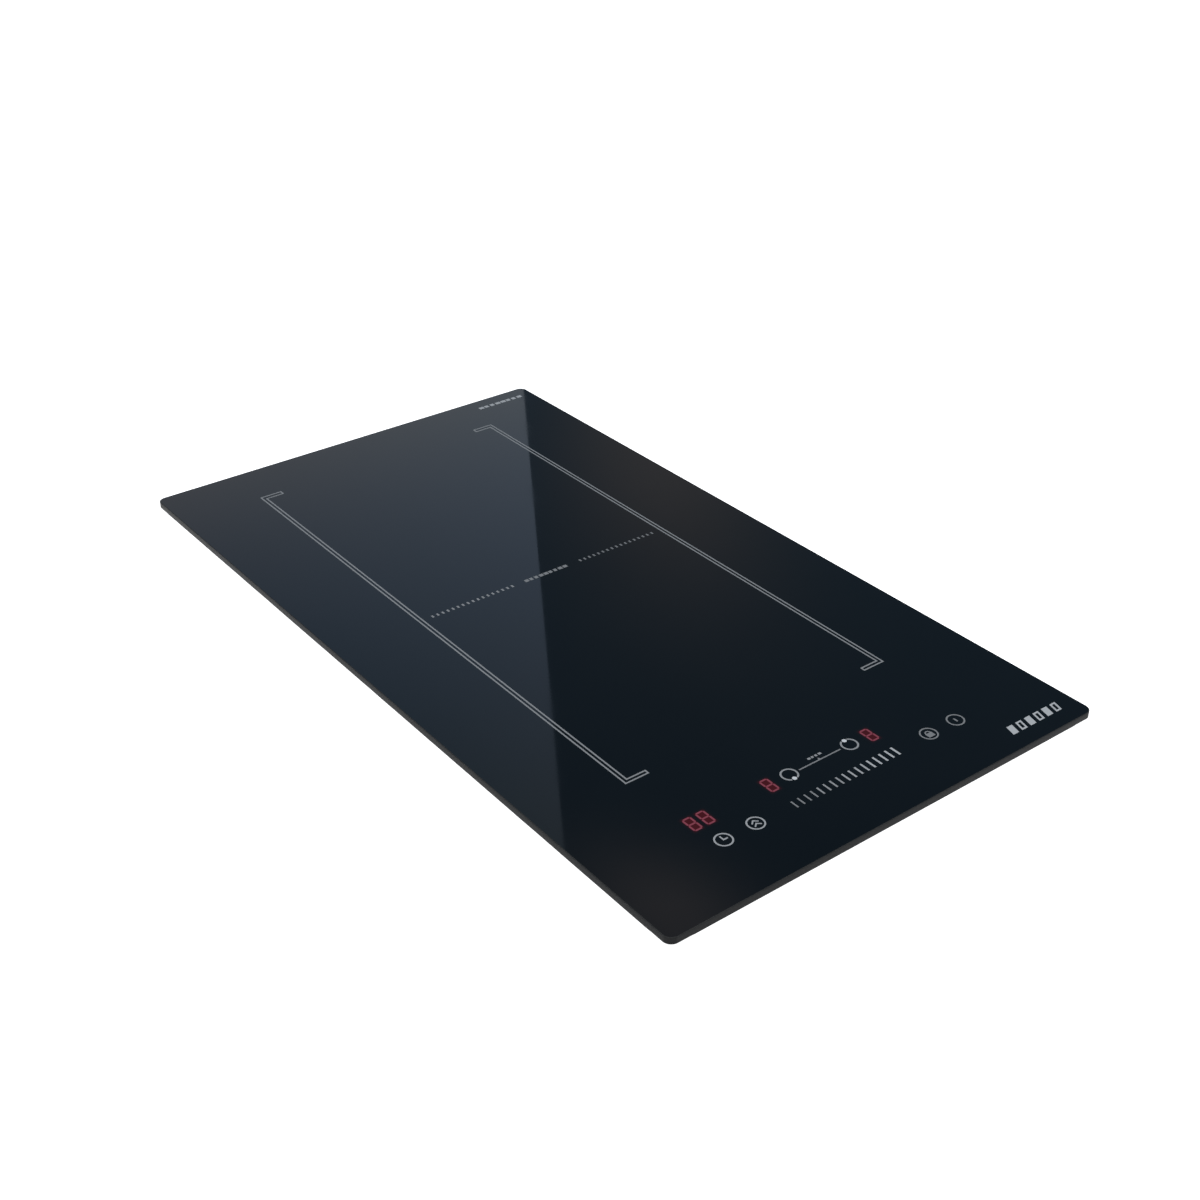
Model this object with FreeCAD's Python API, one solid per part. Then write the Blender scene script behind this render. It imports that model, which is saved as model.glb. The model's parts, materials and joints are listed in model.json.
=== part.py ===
"""Two-zone built-in induction cooktop, 288 x 520 mm, modelled piece by piece.

Frame: +X to the cook's right, +Y away from the cook, +Z up. The origin is the middle of the
worktop cut-out, on the worktop's top face: the glass lies above z = 0 and the body hangs below.
"""

import FreeCAD, Part
import math
import os

V = FreeCAD.Vector
UP, DOWN = V(0, 0, 1), V(0, 0, -1)

# Driving dimensions, in millimetres.
GLASS_W, GLASS_D, GLASS_T = 288.0, 520.0, 4.0
GLASS_CORNER = 5.0
GLASS_BEVEL = 0.7
SEAL_T = 0.5
BODY_W, BODY_D = 262.0, 482.0
SHEET = 1.0
PAN_TOP, PAN_BOTTOM = -1.5, -50.5
FOOT_H = 3.0
ZONE_Y = 30.5            # the line between the two cooking zones
ZONE_PITCH = 192.0       # distance between the two coil centres
COIL_W, COIL_D, COIL_CORNER = 176.0, 186.0, 70.0
COIL_EYE_W, COIL_EYE_D, COIL_EYE_CORNER = 46.0, 56.0, 22.0
SCREW_R = 1.3            # shank of every small screw
HOLE_R = 1.7             # clearance hole for it
PILOT_R = 1.35           # hole that it bites in
FIT = 0.1                # gap between pieces that only meet

# Heights that several pieces share.
GLASS_LOW = SEAL_T
GLASS_HIGH = SEAL_T + GLASS_T
FLOOR_TOP = PAN_BOTTOM + SHEET
FRAME_TOP = 0.1
TRAY_Z = (-25.2, -24.2)
BOARD_Z = (-44.5, -42.9)
COIL_PLATE_Z = (-13.4, -12.2)
FERRITE_Z = (-12.2, -7.2)
FORMER_Z = (-7.0, -5.2)
WINDING_Z = (-5.1, -1.4)
MICA_Z = (-1.1, 0.5)
TOUCH_BOARD_Z = (-7.2, -5.6)

# Places that several pieces share.
INNER_X = BODY_W / 2 - SHEET
INNER_Y = BODY_D / 2 - SHEET
REAR_FACE = BODY_D / 2
COIL_CENTRES = {"front": ZONE_Y - ZONE_PITCH / 2, "rear": ZONE_Y + ZONE_PITCH / 2}
BLOWER = V(-72.0, -108.0, 0)
BLOWER_Z = (FLOOR_TOP, -27.3)
SCROLL_START, SCROLL_END = 75, 360
SCROLL_R = (38.0, 52.0)
CASE_WALL = 1.5
PILLARS = [(x, y) for x in (-124, 124) for y in (-150, 35, 220)]
TOUCH_LEGS = [(x, y) for x in (-95, 95) for y in (-229, -195)]
BOARD_X, BOARD_Y = (-118.0, 118.0), (-55.0, 188.0)
BOARD_POSTS = [(x, y) for x in (-112, 112) for y in (-49, 182)]
FRAME_SCREWS_Y = (-190, 0, 190)
CLIPS_Y = (-110, 110)
CLIP_W = 16.0
CLIP_HINGE = (132.4, -40.0)
DISPLAY_Y, KEY_Y = -204.0, -222.0
TERMINAL_X, TERMINAL_Y = (25.0, 119.0), (196.0, 239.9)
TERMINAL_Z = (-49.4, -26.2)
COVER_WINDOW_X, COVER_WINDOW_Z = (54.0, 114.0), (-46.0, -29.0)
COVER_AXIS = (242.7, -24.6)
GRILLE_T = 1.6
GLAND = V(38.0, REAR_FACE, -37.5)
REAR_VENT_X, FRONT_VENT_X, VENT_Z = (-72.0, 8.0), (-60.0, 60.0), (-44.0, -28.0)


# ---- basic shapes ---------------------------------------------------------------------------

def block(x, y, z):
    """A box from its ranges along X, Y and Z."""
    return Part.makeBox(x[1] - x[0], y[1] - y[0], z[1] - z[0], V(x[0], y[0], z[0]))


def rounded(width, depth, radius, z, centre=(0, 0)):
    """An upright prism, rounded at its four vertical edges."""
    x, y = centre
    shape = block((x - width / 2, x + width / 2), (y - depth / 2, y + depth / 2), z)
    upright = [e for e in shape.Edges if abs(e.Vertexes[0].Z - e.Vertexes[1].Z) > 1e-6]
    return shape.makeFillet(radius, upright)


def post(x, y, z, radius):
    """An upright cylinder between two heights."""
    return Part.makeCylinder(radius, z[1] - z[0], V(x, y, z[0]), UP)


def bar(start, end, radius):
    """A cylinder between two points."""
    return Part.makeCylinder(radius, (end - start).Length, start, end - start)


def join(shapes):
    """One solid from shapes that touch or overlap."""
    shapes = list(shapes)
    return shapes[0].multiFuse(shapes[1:]).removeSplitter() if shapes[1:] else shapes[0]


def cut(shape, tools):
    """A shape with every tool taken out of it."""
    return shape.cut(list(tools))


def group(shapes):
    """Separate solids that share one node."""
    return Part.makeCompound([s for shape in shapes for s in shape.Solids])


def prism(points, direction):
    """A closed polygon, pushed along a direction."""
    wire = Part.makePolygon([*points, points[0]])
    return Part.Face(wire).extrude(direction)


def screw(seat, into, length=8.0, radius=SCREW_R, head_r=2.8, head_h=1.8):
    """A pan-head screw with a cross recess. Its head sits on seat and its shank goes into."""
    head = Part.makeCylinder(head_r, head_h, V(0, 0, 0), UP)
    rim = [e for e in head.Edges if len(e.Vertexes) == 1 and e.BoundBox.ZMin > head_h - 0.01]
    head = head.makeFillet(head_h * 0.45, rim)
    arm, slot = head_r * 0.55, head_r * 0.13
    floor = head_h * 0.45
    cross = [
        block((-arm, arm), (-slot, slot), (floor, head_h + 1)),
        block((-slot, slot), (-arm, arm), (floor, head_h + 1)),
    ]
    shank = Part.makeCylinder(radius, length + 0.5, V(0, 0, 0.5), DOWN)
    made = join([cut(head, cross), shank])
    made.Placement = FreeCAD.Placement(seat, FreeCAD.Rotation(DOWN, into))
    return made


def helical_spring(x, y, z, radius, wire_r, turns):
    """A compression spring of round wire, standing between two heights."""
    height = z[1] - z[0] - 2 * wire_r
    path = Part.makeLongHelix(height / turns, height, radius)
    profile = Part.Wire(Part.makeCircle(wire_r, V(radius, 0, 0), V(0, 1, 0)))
    made = Part.Wire(path).makePipeShell([profile], True, True)
    made.translate(V(x, y, z[0] + wire_r))
    return made


def route(points):
    """A wire of straight runs, joined by arcs as large as the shorter run at each bend allows."""
    points = [V(*p) for p in points]
    edges, last = [], points[0]
    for before, corner, after in zip(points, points[1:], points[2:]):
        back, on = before - corner, after - corner
        reach = 0.45 * min(back.Length, on.Length)
        back.normalize()
        on.normalize()
        half_turn = (math.pi - back.getAngle(on)) / 2
        bend = reach / math.tan(half_turn)
        inward = (back + on).normalize()
        middle = corner + inward * (bend / math.cos(half_turn) - bend)
        start, end = corner + back * reach, corner + on * reach
        edges += [Part.LineSegment(last, start).toShape(), Part.Arc(start, middle, end).toShape()]
        last = end
    edges.append(Part.LineSegment(last, points[-1]).toShape())
    return Part.Wire(edges)


def lead(points, radius):
    """A round wire or cable laid along a route."""
    path = route(points)
    along = V(*points[1]) - V(*points[0])
    profile = Part.Wire(Part.makeCircle(radius, V(*points[0]), along))
    return path.makePipeShell([profile], True, False)


def bent_strip(points, thickness, y):
    """A strip of sheet bent along points in the XZ plane, with round knees, as wide as y."""
    depth = V(0, y[1] - y[0], 0)
    parts = []
    for (x0, z0), (x1, z1) in zip(points, points[1:]):
        along = V(x1 - x0, 0, z1 - z0).normalize()
        side = V(-along.z, 0, along.x) * (thickness / 2)
        a, b = V(x0, y[0], z0), V(x1, y[0], z1)
        parts.append(prism([a + side, b + side, b - side, a - side], depth))
    for x, z in points:
        parts.append(Part.makeCylinder(thickness / 2, y[1] - y[0], V(x, y[0], z), V(0, 1, 0)))
    return join(parts)


def mirrored(shape):
    """The same shape on the other side of the YZ plane."""
    return shape.mirror(V(0, 0, 0), V(1, 0, 0))


# ---- glass, seal and frame ------------------------------------------------------------------

def glass_panel():
    """Black glass-ceramic plate with ground and bevelled edges."""
    plate = rounded(GLASS_W, GLASS_D, GLASS_CORNER, (GLASS_LOW, GLASS_HIGH))
    rims = [e for e in plate.Edges if e.BoundBox.ZLength < 1e-3]
    return plate.makeChamfer(GLASS_BEVEL, rims)


def ring(outer, inner, z, corner):
    """A flat rectangular ring from its outer and inner width and depth."""
    return rounded(*outer, corner, z).cut(rounded(*inner, max(corner - 2, 1), z))


def worktop_seal():
    """Foam strip under the overhanging edge of the glass, outside the cut-out."""
    return ring((GLASS_W - 4, GLASS_D - 4), (272, 494), (0, SEAL_T), 5)


def frame_adhesive():
    """Silicone bead that glues the glass to the frame."""
    return ring((BODY_W - 4, BODY_D - 4), (BODY_W - 12, BODY_D - 12), (FRAME_TOP, GLASS_LOW), 4)


def glass_frame():
    """Moulded frame: a flange under the glass and a leg that the pan's walls are screwed to."""
    outer = (2 * (INNER_X - FIT), 2 * (INNER_Y - FIT))
    flange = ring(outer, (outer[0] - 12, outer[1] - 12), (-3.5, FRAME_TOP), 3)
    leg = ring(outer, (outer[0] - 6, outer[1] - 6), (-12, -3.5), 3)
    holes = [bar(seat - into, seat + into * 12, PILOT_R) for seat, into in frame_screw_seats()]
    return cut(join([flange, leg]), holes)


def frame_screw_seats():
    """Where the screws through the pan's walls sit, and which way they go."""
    z = -8.0
    sides = [(V(s * BODY_W / 2, y, z), V(-s, 0, 0)) for s in (-1, 1) for y in FRAME_SCREWS_Y]
    ends = [(V(x, s * BODY_D / 2, z), V(0, -s, 0)) for s in (-1, 1) for x in (-90, 90)]
    return sides + ends


def wall_screws():
    """Short screws through the pan's walls: into the frame, and through the clips' feet."""
    frame = [screw(seat, into, length=4.6) for seat, into in frame_screw_seats()]
    clips = [screw(seat, into, length=3.4, head_h=1.5) for seat, into in clip_screw_seats()]
    return group([*frame, *clips])


# ---- base pan -------------------------------------------------------------------------------

def base_beads(grow):
    """Long pressed stiffening beads in the pan's floor, as solids swollen by grow."""
    beads = []
    for x in (-30, 30, 92):
        z = (PAN_BOTTOM - 1.4 + SHEET - grow, PAN_BOTTOM + SHEET + 0.01)
        bead = rounded(7 + 2 * grow, 190 + 2 * grow, 3.4 + grow, z, (x, 60))
        beads.append(bead)
    return beads


def base_slots():
    """Cooling slots through the pan's floor, in two rows under the power board."""
    slots = []
    for y in (-16, 136):
        for n in range(9):
            x = -104 + n * 6.5
            slots.append(rounded(3, 34, 1.45, (PAN_BOTTOM - 1, FLOOR_TOP + 1), (x, y)))
    return slots


def base_pan():
    """Galvanised sheet pan with open windows for the vents, the gland and the terminal cover."""
    shell = rounded(BODY_W, BODY_D, 3, (PAN_BOTTOM, PAN_TOP))
    inside = rounded(BODY_W - 2 * SHEET, BODY_D - 2 * SHEET, 2, (FLOOR_TOP, PAN_TOP + 1))
    pan = join([cut(shell, [inside]), *base_beads(0)])
    wall = (REAR_FACE - 3, REAR_FACE + 1)
    windows = [
        block(REAR_VENT_X, wall, VENT_Z),
        block(FRONT_VENT_X, (-wall[1], -wall[0]), VENT_Z),
        block(COVER_WINDOW_X, wall, COVER_WINDOW_Z),
        bar(GLAND + V(0, -3, 0), GLAND + V(0, 1, 0), 7.1),
        post(BLOWER.x, BLOWER.y, (PAN_BOTTOM - 1, FLOOR_TOP + 1), 33),
    ]
    hollows = [bead.translated(V(0, 0, SHEET)) for bead in base_beads(-SHEET)]
    floor = (PAN_BOTTOM - 1, FLOOR_TOP + 1)
    holes = [post(x, y, floor, HOLE_R) for x, y in [*PILLARS, *TOUCH_LEGS, *blower_ears()]]
    holes += [bar(seat - into, seat + into * 3, HOLE_R) for seat, into in frame_screw_seats()]
    holes += [bar(seat - into, seat + into * 3, PILOT_R) for seat, into in clip_screw_seats()]
    return cut(pan, [*windows, *hollows, *holes, *base_slots()])


def slotted_plate(size_x, size_z, slots_x, slot_h, y):
    """A flat upright louvre plate with vertical slots."""
    plate = block(size_x, y, size_z)
    edges = [e for e in plate.Edges if abs(e.Vertexes[0].Y - e.Vertexes[1].Y) > 1e-6]
    plate = plate.makeFillet(2, edges)
    middle = (size_z[0] + size_z[1]) / 2
    first = (size_x[0] + size_x[1]) / 2 - (slots_x - 1) * 3
    deep = (min(y) - 1, max(y) + 1)
    cuts = []
    for n in range(slots_x):
        x = first + 6 * n
        slot = block((x - 1.6, x + 1.6), deep, (middle - slot_h / 2, middle + slot_h / 2))
        ends = [e for e in slot.Edges if abs(e.Vertexes[0].Y - e.Vertexes[1].Y) > 1e-6]
        cuts.append(slot.makeFillet(1.55, ends))
    return cut(plate, cuts)


def vent_grilles():
    """Louvre plates over the rear and the front windows of the pan."""
    z = (VENT_Z[0] - 2, VENT_Z[1] + 2)
    rear_x = (REAR_VENT_X[0] - 3, REAR_VENT_X[1] + 3)
    front_x = (FRONT_VENT_X[0] - 3, FRONT_VENT_X[1] + 3)
    rear = slotted_plate(rear_x, z, 13, 14, (REAR_FACE, REAR_FACE + 1.5))
    front = slotted_plate(front_x, z, 19, 14, (-REAR_FACE - 1.5, -REAR_FACE))
    return group([rear, front])


def intake_grille():
    """Finger guard under the blower's intake: a rim, two guard rings and six spokes."""
    z = (PAN_BOTTOM - GRILLE_T, PAN_BOTTOM)
    through = (z[0] - 1, z[1] + 1)
    plate = rounded(84, 84, 8, z, (BLOWER.x, BLOWER.y))
    holes = [post(x, y, through, HOLE_R) for x, y in blower_ears()]
    plate = cut(plate, [post(BLOWER.x, BLOWER.y, through, 32), *holes])
    rings = []
    for radius in (6, 13, 20, 27):
        outer = post(BLOWER.x, BLOWER.y, z, radius)
        rings.append(outer.cut(post(BLOWER.x, BLOWER.y, z, radius - 2.4)))
    spokes = []
    for n in range(6):
        spoke = block((4, 33), (-1, 1), z)
        spoke.rotate(V(0, 0, 0), UP, 60 * n + 30)
        spokes.append(spoke.translated(BLOWER))
    return join([plate, *rings, *spokes])


def rubber_feet():
    feet = []
    for x in (-112, 112):
        for y in (-222, 200):
            low, high = PAN_BOTTOM - FOOT_H, PAN_BOTTOM
            foot = Part.makeCone(6.5, 8, high - low, V(x, y, low), UP)
            rim = [e for e in foot.Edges if len(e.Vertexes) == 1 and e.BoundBox.ZMax < low + 0.01]
            feet.append(foot.makeFillet(0.6, rim))
    return group(feet)


def base_screws():
    """Screws from below into pillars, legs and the blower's ears, and through the coil tray."""
    from_below = [screw(V(x, y, PAN_BOTTOM), UP, length=6.5) for x, y in [*PILLARS, *TOUCH_LEGS]]
    from_below += [screw(V(x, y, PAN_BOTTOM - GRILLE_T), UP, length=6.5) for x, y in blower_ears()]
    on_tray = [screw(V(x, y, TRAY_Z[1]), DOWN, length=6.5) for x, y in PILLARS]
    return group([*from_below, *on_tray])


# ---- side clips -----------------------------------------------------------------------------

def clip_screw_seats():
    foot = BODY_W / 2 + 0.7
    return [(V(s * foot, y, -45.4), V(-s, 0, 0)) for s in (-1, 1) for y in CLIPS_Y]


def clip_foot(y):
    """The flat foot of a spring clip, on the pan's right wall."""
    x, t = BODY_W / 2 + 0.35, 0.7
    span = (y - CLIP_W / 2, y + CLIP_W / 2)
    foot = bent_strip([(x, -49.0), (x, -42.2), (132.0, -40.7)], t, span)
    return cut(foot, [bar(V(x - 2, y, -45.4), V(x + 2, y, -45.4), HOLE_R)])


def clip_blade(y):
    """The springy blade of a right-hand clip, which bows out and returns at its tip."""
    span = (y - CLIP_W / 2, y + CLIP_W / 2)
    hx, hz = CLIP_HINGE
    blade = bent_strip([(hx, hz), (136.9, -14), (134.6, -7.5)], 0.7, span)
    relief = block((hx - 5, hx + 9), (y - 3, y + 3), (-34, -20))
    ends = [e for e in relief.Edges if abs(e.Vertexes[0].X - e.Vertexes[1].X) > 1e-6]
    return cut(blade, [relief.makeFillet(2.4, ends)])


def side_clips():
    nodes = {}
    for where, y in zip(("front", "rear"), CLIPS_Y):
        nodes["clip_blade_right_" + where] = clip_blade(y)
        nodes["clip_blade_left_" + where] = mirrored(clip_blade(y))
    feet = [clip_foot(y) for y in CLIPS_Y]
    nodes["clip_feet"] = group([*feet, *map(mirrored, feet)])
    return nodes


# ---- coil tray ------------------------------------------------------------------------------

def lead_gates():
    """Openings in the tray for each coil's leads."""
    return {where: V(104, y, 0) for where, y in COIL_CENTRES.items()}


def coil_tray():
    """Aluminium shield that carries both coils on springs."""
    plate = rounded(256, 390, 6, TRAY_Z, (0, 35))
    through = (TRAY_Z[0] - 1, TRAY_Z[1] + 1)
    cuts = [post(x, y, through, HOLE_R) for x, y in PILLARS]
    cuts += [rounded(12, 24, 4, through, (gate.x, gate.y)) for gate in lead_gates().values()]
    for y in COIL_CENTRES.values():
        cuts.append(post(0, y, through, 18))
        for x in (-44, 44):
            cuts.append(rounded(16, 70, 7.5, through, (x, y)))
    lips = []
    for y in (-160, 230):
        inner = min(abs(y), abs(y) - 1) * (1 if y > 0 else -1)
        lip_y = (min(y, inner), max(y, inner))
        lips.append(block((-110, 110), lip_y, (TRAY_Z[1] - 0.01, TRAY_Z[1] + 4)))
    return join([cut(plate, cuts), *lips])


def support_posts():
    """Threaded posts: pillars for the coil tray, short posts for the board, and lead terminals."""
    posts = []
    for x, y in PILLARS:
        pillar = post(x, y, (FLOOR_TOP, TRAY_Z[0]), 3)
        bores = [post(x, y, (FLOOR_TOP, FLOOR_TOP + 9), PILOT_R)]
        bores.append(post(x, y, (TRAY_Z[0] - 9, TRAY_Z[0]), PILOT_R))
        posts.append(cut(pillar, bores))
    for x, y in BOARD_POSTS:
        bore = post(x, y, (BOARD_Z[0] - 4, BOARD_Z[0]), PILOT_R)
        posts.append(post(x, y, (FLOOR_TOP, BOARD_Z[0]), 3.5).cut(bore))
    for x, y in LUG_PLACES:
        body = post(x, y, (BOARD_Z[1], BOARD_Z[1] + 4), 3.4)
        posts.append(body.cut(post(x, y, (BOARD_Z[1] + 0.5, BOARD_Z[1] + 5), PILOT_R)))
    return group(posts)


# ---- coils ----------------------------------------------------------------------------------

SPRING_X, SPRING_Y = 62, 66
SENSOR_R = 5.0
SENSOR_Z = (-8.0, 0.4)
FERRITE = (52, 13)       # length and width of one bar
FERRITE_START = 32


def coil_slab(z, grow=0.0):
    """A plate with the coil's outline and its middle eye."""
    outer = rounded(COIL_W + 2 * grow, COIL_D + 2 * grow, COIL_CORNER + grow, z)
    eye = rounded(COIL_EYE_W - 2 * grow, COIL_EYE_D - 2 * grow, COIL_EYE_CORNER - grow, z)
    return outer.cut(eye)


def spokes(z, length, width, start, turn):
    """Eight radial bars about the coil's middle."""
    bars = []
    for n in range(8):
        piece = block((start, start + length), (-width / 2, width / 2), z)
        piece.rotate(V(0, 0, 0), UP, 45 * n + turn)
        bars.append(piece)
    return bars


def coil_plate():
    """Aluminium carrier under the ferrites, with a cup for each spring."""
    plate = rounded(COIL_W - 6, COIL_D - 6, COIL_CORNER - 3, COIL_PLATE_Z)
    cups = []
    for x in (-SPRING_X, SPRING_X):
        for y in (-SPRING_Y, SPRING_Y):
            z = (COIL_PLATE_Z[0] - 2, COIL_PLATE_Z[0] + 0.01)
            cups.append(post(x, y, z, 7).cut(post(x, y, z, 6)))
    eye = post(0, 0, (COIL_PLATE_Z[0] - 1, COIL_PLATE_Z[1] + 1), 3)
    return join([cut(plate, [eye]), *cups])


def coil_former():
    """Moulded disc that the wire is wound on, with ribs between the ferrites and a sensor guide."""
    disc = rounded(COIL_W, COIL_D, COIL_CORNER, FORMER_Z)
    ribs = spokes((COIL_PLATE_Z[1], FORMER_Z[0] + 0.1), 50, 3, 30, 22.5)
    guide = post(0, 0, (COIL_PLATE_Z[1], -1.6), 8.5)
    hole = post(0, 0, (COIL_PLATE_Z[1] - 1, 1), SENSOR_R + FIT)
    return cut(join([disc, *ribs, guide]), [hole])


def mica_sheets():
    """Insulating sheet over each coil, against the glass, with a hole for the sensor."""
    sheets = []
    for y in COIL_CENTRES.values():
        sheet = rounded(COIL_W + 4, COIL_D + 4, COIL_CORNER + 2, MICA_Z, (0, y))
        sheets.append(sheet.cut(post(0, y, (MICA_Z[0] - 1, MICA_Z[1] + 1), 7)))
    return group(sheets)


def heat_sensor():
    """Spring-loaded temperature probe that touches the glass in the coil's eye."""
    body = post(0, 0, (SENSOR_Z[0], SENSOR_Z[1] - 1.2), SENSOR_R)
    cap = Part.makeCone(SENSOR_R, SENSOR_R - 0.8, 1.2, V(0, 0, SENSOR_Z[1] - 1.2), UP)
    stem = post(0, 0, (COIL_PLATE_Z[1] - 0.4, SENSOR_Z[0]), 1.2)
    return join([body, cap, stem])


def coil_nodes(where):
    """Every piece of one coil, moved to its centre."""
    centre = V(0, COIL_CENTRES[where], 0)
    feet_z = (TRAY_Z[1], COIL_PLATE_Z[0])
    stands = [(x, y) for x in (-SPRING_X, SPRING_X) for y in (-SPRING_Y, SPRING_Y)]
    ferrites = spokes(FERRITE_Z, *FERRITE, FERRITE_START, 0)
    made = {
        "coil_plate": coil_plate(),
        "ferrite_bars": group(ferrites),
        "coil_former": coil_former(),
        "coil_winding": coil_slab(WINDING_Z, -1),
        "heat_sensor": heat_sensor(),
        "sensor_spring": helical_spring(0, 0, (COIL_PLATE_Z[1], SENSOR_Z[0]), 3.2, 0.25, 3),
        "coil_springs": group(helical_spring(x, y, feet_z, 4.6, 0.5, 4.5) for x, y in stands),
    }
    return {f"{where}_{name}": shape.translated(centre) for name, shape in made.items()}


# ---- power board ----------------------------------------------------------------------------

SINK_X, SINK_WING, SINK_Y = (-66.0, -2.0), 24.0, (-44.0, 150.0)
SINK_BASE_Z = (-40.9, -36.9)
CHIP_Y = (-30, 8, 90, 128)
RECTIFIER_Y = 49
LEAD_X = (101, 107)      # the two leads of a coil run side by side
LUG_Y = {"front": (-26, -40), "rear": (166, 152)}
LUG_PLACES = [(x, y) for pair in LUG_Y.values() for x, y in zip(LEAD_X, pair)]


def power_board():
    """Fibreglass board on four posts, with holes for its screws."""
    board = block(BOARD_X, BOARD_Y, BOARD_Z)
    through = (BOARD_Z[0] - 1, BOARD_Z[1] + 1)
    holes = [post(x, y, through, HOLE_R) for x, y in BOARD_POSTS]
    edges = [e for e in board.Edges if e.BoundBox.ZLength > 1]
    return cut(board.makeFillet(3, edges), holes)


def board_screws():
    """Small screws of both boards, of the power chips and of the coil leads' lugs."""
    screws = [screw(V(x, y, BOARD_Z[1]), DOWN, length=4.5) for x, y in BOARD_POSTS]
    screws += [screw(seat, DOWN, length=4 + CHIP_T) for seat in chip_screw_seats(CHIP_T)]
    screws += [screw(V(x, y, BOARD_Z[1] + 5), DOWN, length=4) for x, y in LUG_PLACES]
    for x, y in TOUCH_SCREWS:
        screws.append(screw(V(x, y, TOUCH_BOARD_Z[1]), DOWN, length=3.2, head_r=2.3, head_h=1.2))
    return group(screws)


def heat_sink():
    """Extruded aluminium sink: a base with a bare wing for the chips, and upright fins."""
    base = block((SINK_X[0], SINK_X[1] + SINK_WING), SINK_Y, SINK_BASE_Z)
    fins = []
    for n in range(11):
        x = SINK_X[0] + n * 6.2
        fins.append(block((x, x + 1.6), SINK_Y, (SINK_BASE_Z[1] - 0.1, -27.6)))
    feet = [
        block((x, x + 5), SINK_Y, (BOARD_Z[1], SINK_BASE_Z[0] + 0.1))
        for x in (SINK_X[0], SINK_X[1] + SINK_WING - 5)
    ]
    taps = [bar(seat, seat + V(0, 0, -5), PILOT_R) for seat in chip_screw_seats(0)]
    return cut(join([base, *fins, *feet]), taps)


def chip_screw_seats(lift):
    """Where each chip is screwed down, lifted by the chip's thickness."""
    z = SINK_BASE_Z[1] + lift
    return [V(SINK_X[1] + 8, y, z) for y in (*CHIP_Y, RECTIFIER_Y)]


CHIP_T = 4.6


def power_chips():
    """Four switching transistors and a bridge rectifier, with their legs bent to the board."""
    chips = []
    for y in (*CHIP_Y, RECTIFIER_Y):
        half = 12 if y == RECTIFIER_Y else 8
        z = (SINK_BASE_Z[1], SINK_BASE_Z[1] + CHIP_T)
        x = SINK_X[1] + 2
        body = block((x, x + 20), (y - half, y + half), z)
        top = [e for e in body.Edges if e.BoundBox.ZMin > z[1] - 0.01]
        body = body.makeChamfer(0.6, top)
        legs = []
        for step in (-1, 0, 1):
            leg_y = (y + step * half * 0.6 - 0.6, y + step * half * 0.6 + 0.6)
            knee = x + 24
            legs.append(block((x + 19.5, knee), leg_y, (z[0] + 1.6, z[0] + 2.3)))
            legs.append(block((knee - 0.7, knee), leg_y, (BOARD_Z[1], z[0] + 2.3)))
        hole = post(x + 6, y, (z[0] - 1, z[1] + 1), HOLE_R)
        chips.append(join([cut(body, [hole]), *legs]))
    return group(chips)


def rounded_box(x, y, size, edge):
    """A box-shaped component standing on the board."""
    z = (BOARD_Z[1], BOARD_Z[1] + size[2])
    shape = block((x - size[0] / 2, x + size[0] / 2), (y - size[1] / 2, y + size[1] / 2), z)
    free = [e for e in shape.Edges if e.BoundBox.ZMax > z[0] + 0.01]
    return shape.makeFillet(edge, free)


def capacitors():
    """Resonance and filter capacitors cast in boxes, and round cans with a groove at the foot."""
    places = [(-94, y) for y in (-30, 0, 60, 90, 140)] + [(48, y) for y in (-22, 4, 66)]
    parts = [rounded_box(x, y, (31, 17, 14.5), 1.0) for x, y in places]
    for x, y in ((-96, 28), (-82, 28), (48, 100)):
        can = post(x, y, (BOARD_Z[1], BOARD_Z[1] + 14), 5.5)
        tops = [e for e in can.Edges if len(e.Vertexes) == 1 and e.BoundBox.ZMin > BOARD_Z[1] + 13]
        groove = Part.makeTorus(5.9, 0.7, V(x, y, BOARD_Z[1] + 2.6), UP)
        parts.append(can.makeFillet(0.8, tops).cut(groove))
    return group(parts)


def filter_choke():
    """Ring core wound with a single layer of thick wire."""
    core = post(84, 74, (BOARD_Z[1] + 1.6, BOARD_Z[1] + 12.6), 15).cut(
        post(84, 74, (BOARD_Z[1] + 1.6, BOARD_Z[1] + 12.6), 8)
    )
    rims = [e for e in core.Edges if len(e.Vertexes) == 1 and e.BoundBox.ZLength < 1e-3]
    core = core.makeFillet(1.2, rims)
    turns = []
    for n in range(24):
        if n % 12 in (0, 11):
            continue
        loop = block((6.3, 16.6), (-0.75, 0.75), (BOARD_Z[1] + 0.2, BOARD_Z[1] + 14))
        loop.rotate(V(0, 0, 0), UP, 15 * n)
        loop.translate(V(84, 74, 0))
        turns.append(loop)
    return join([core, *turns])


def transformer():
    """Small mains transformer: a laminated core around a taped bobbin."""
    core = rounded_box(50, 134, (24, 20, 13), 0.5)
    window = block((44, 56), (123, 145), (BOARD_Z[1] + 3, BOARD_Z[1] + 10))
    bobbin = rounded(22, 26, 3, (BOARD_Z[1] + 2, BOARD_Z[1] + 11), (50, 134))
    return join([core.cut(window), bobbin])


FAN_PLUG_X, RIBBON_X = -8, 38
SOCKETS = [(FAN_PLUG_X, -50, 12), (RIBBON_X, -50, 24), (66, 176, 12), (84, 176, 12), (102, 176, 12)]


def board_sockets():
    """Moulded sockets along the board's edges for the fan, the ribbon and the mains wires."""
    sockets = []
    for x, y, width in SOCKETS:
        body = rounded_box(x, y, (width, 7, 8), 0.5)
        half = width / 2 - 1.4
        well = block((x - half, x + half), (y - 2, y + 2), (BOARD_Z[1] + 4, BOARD_Z[1] + 9))
        sockets.append(body.cut(well))
    return group(sockets)


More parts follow.
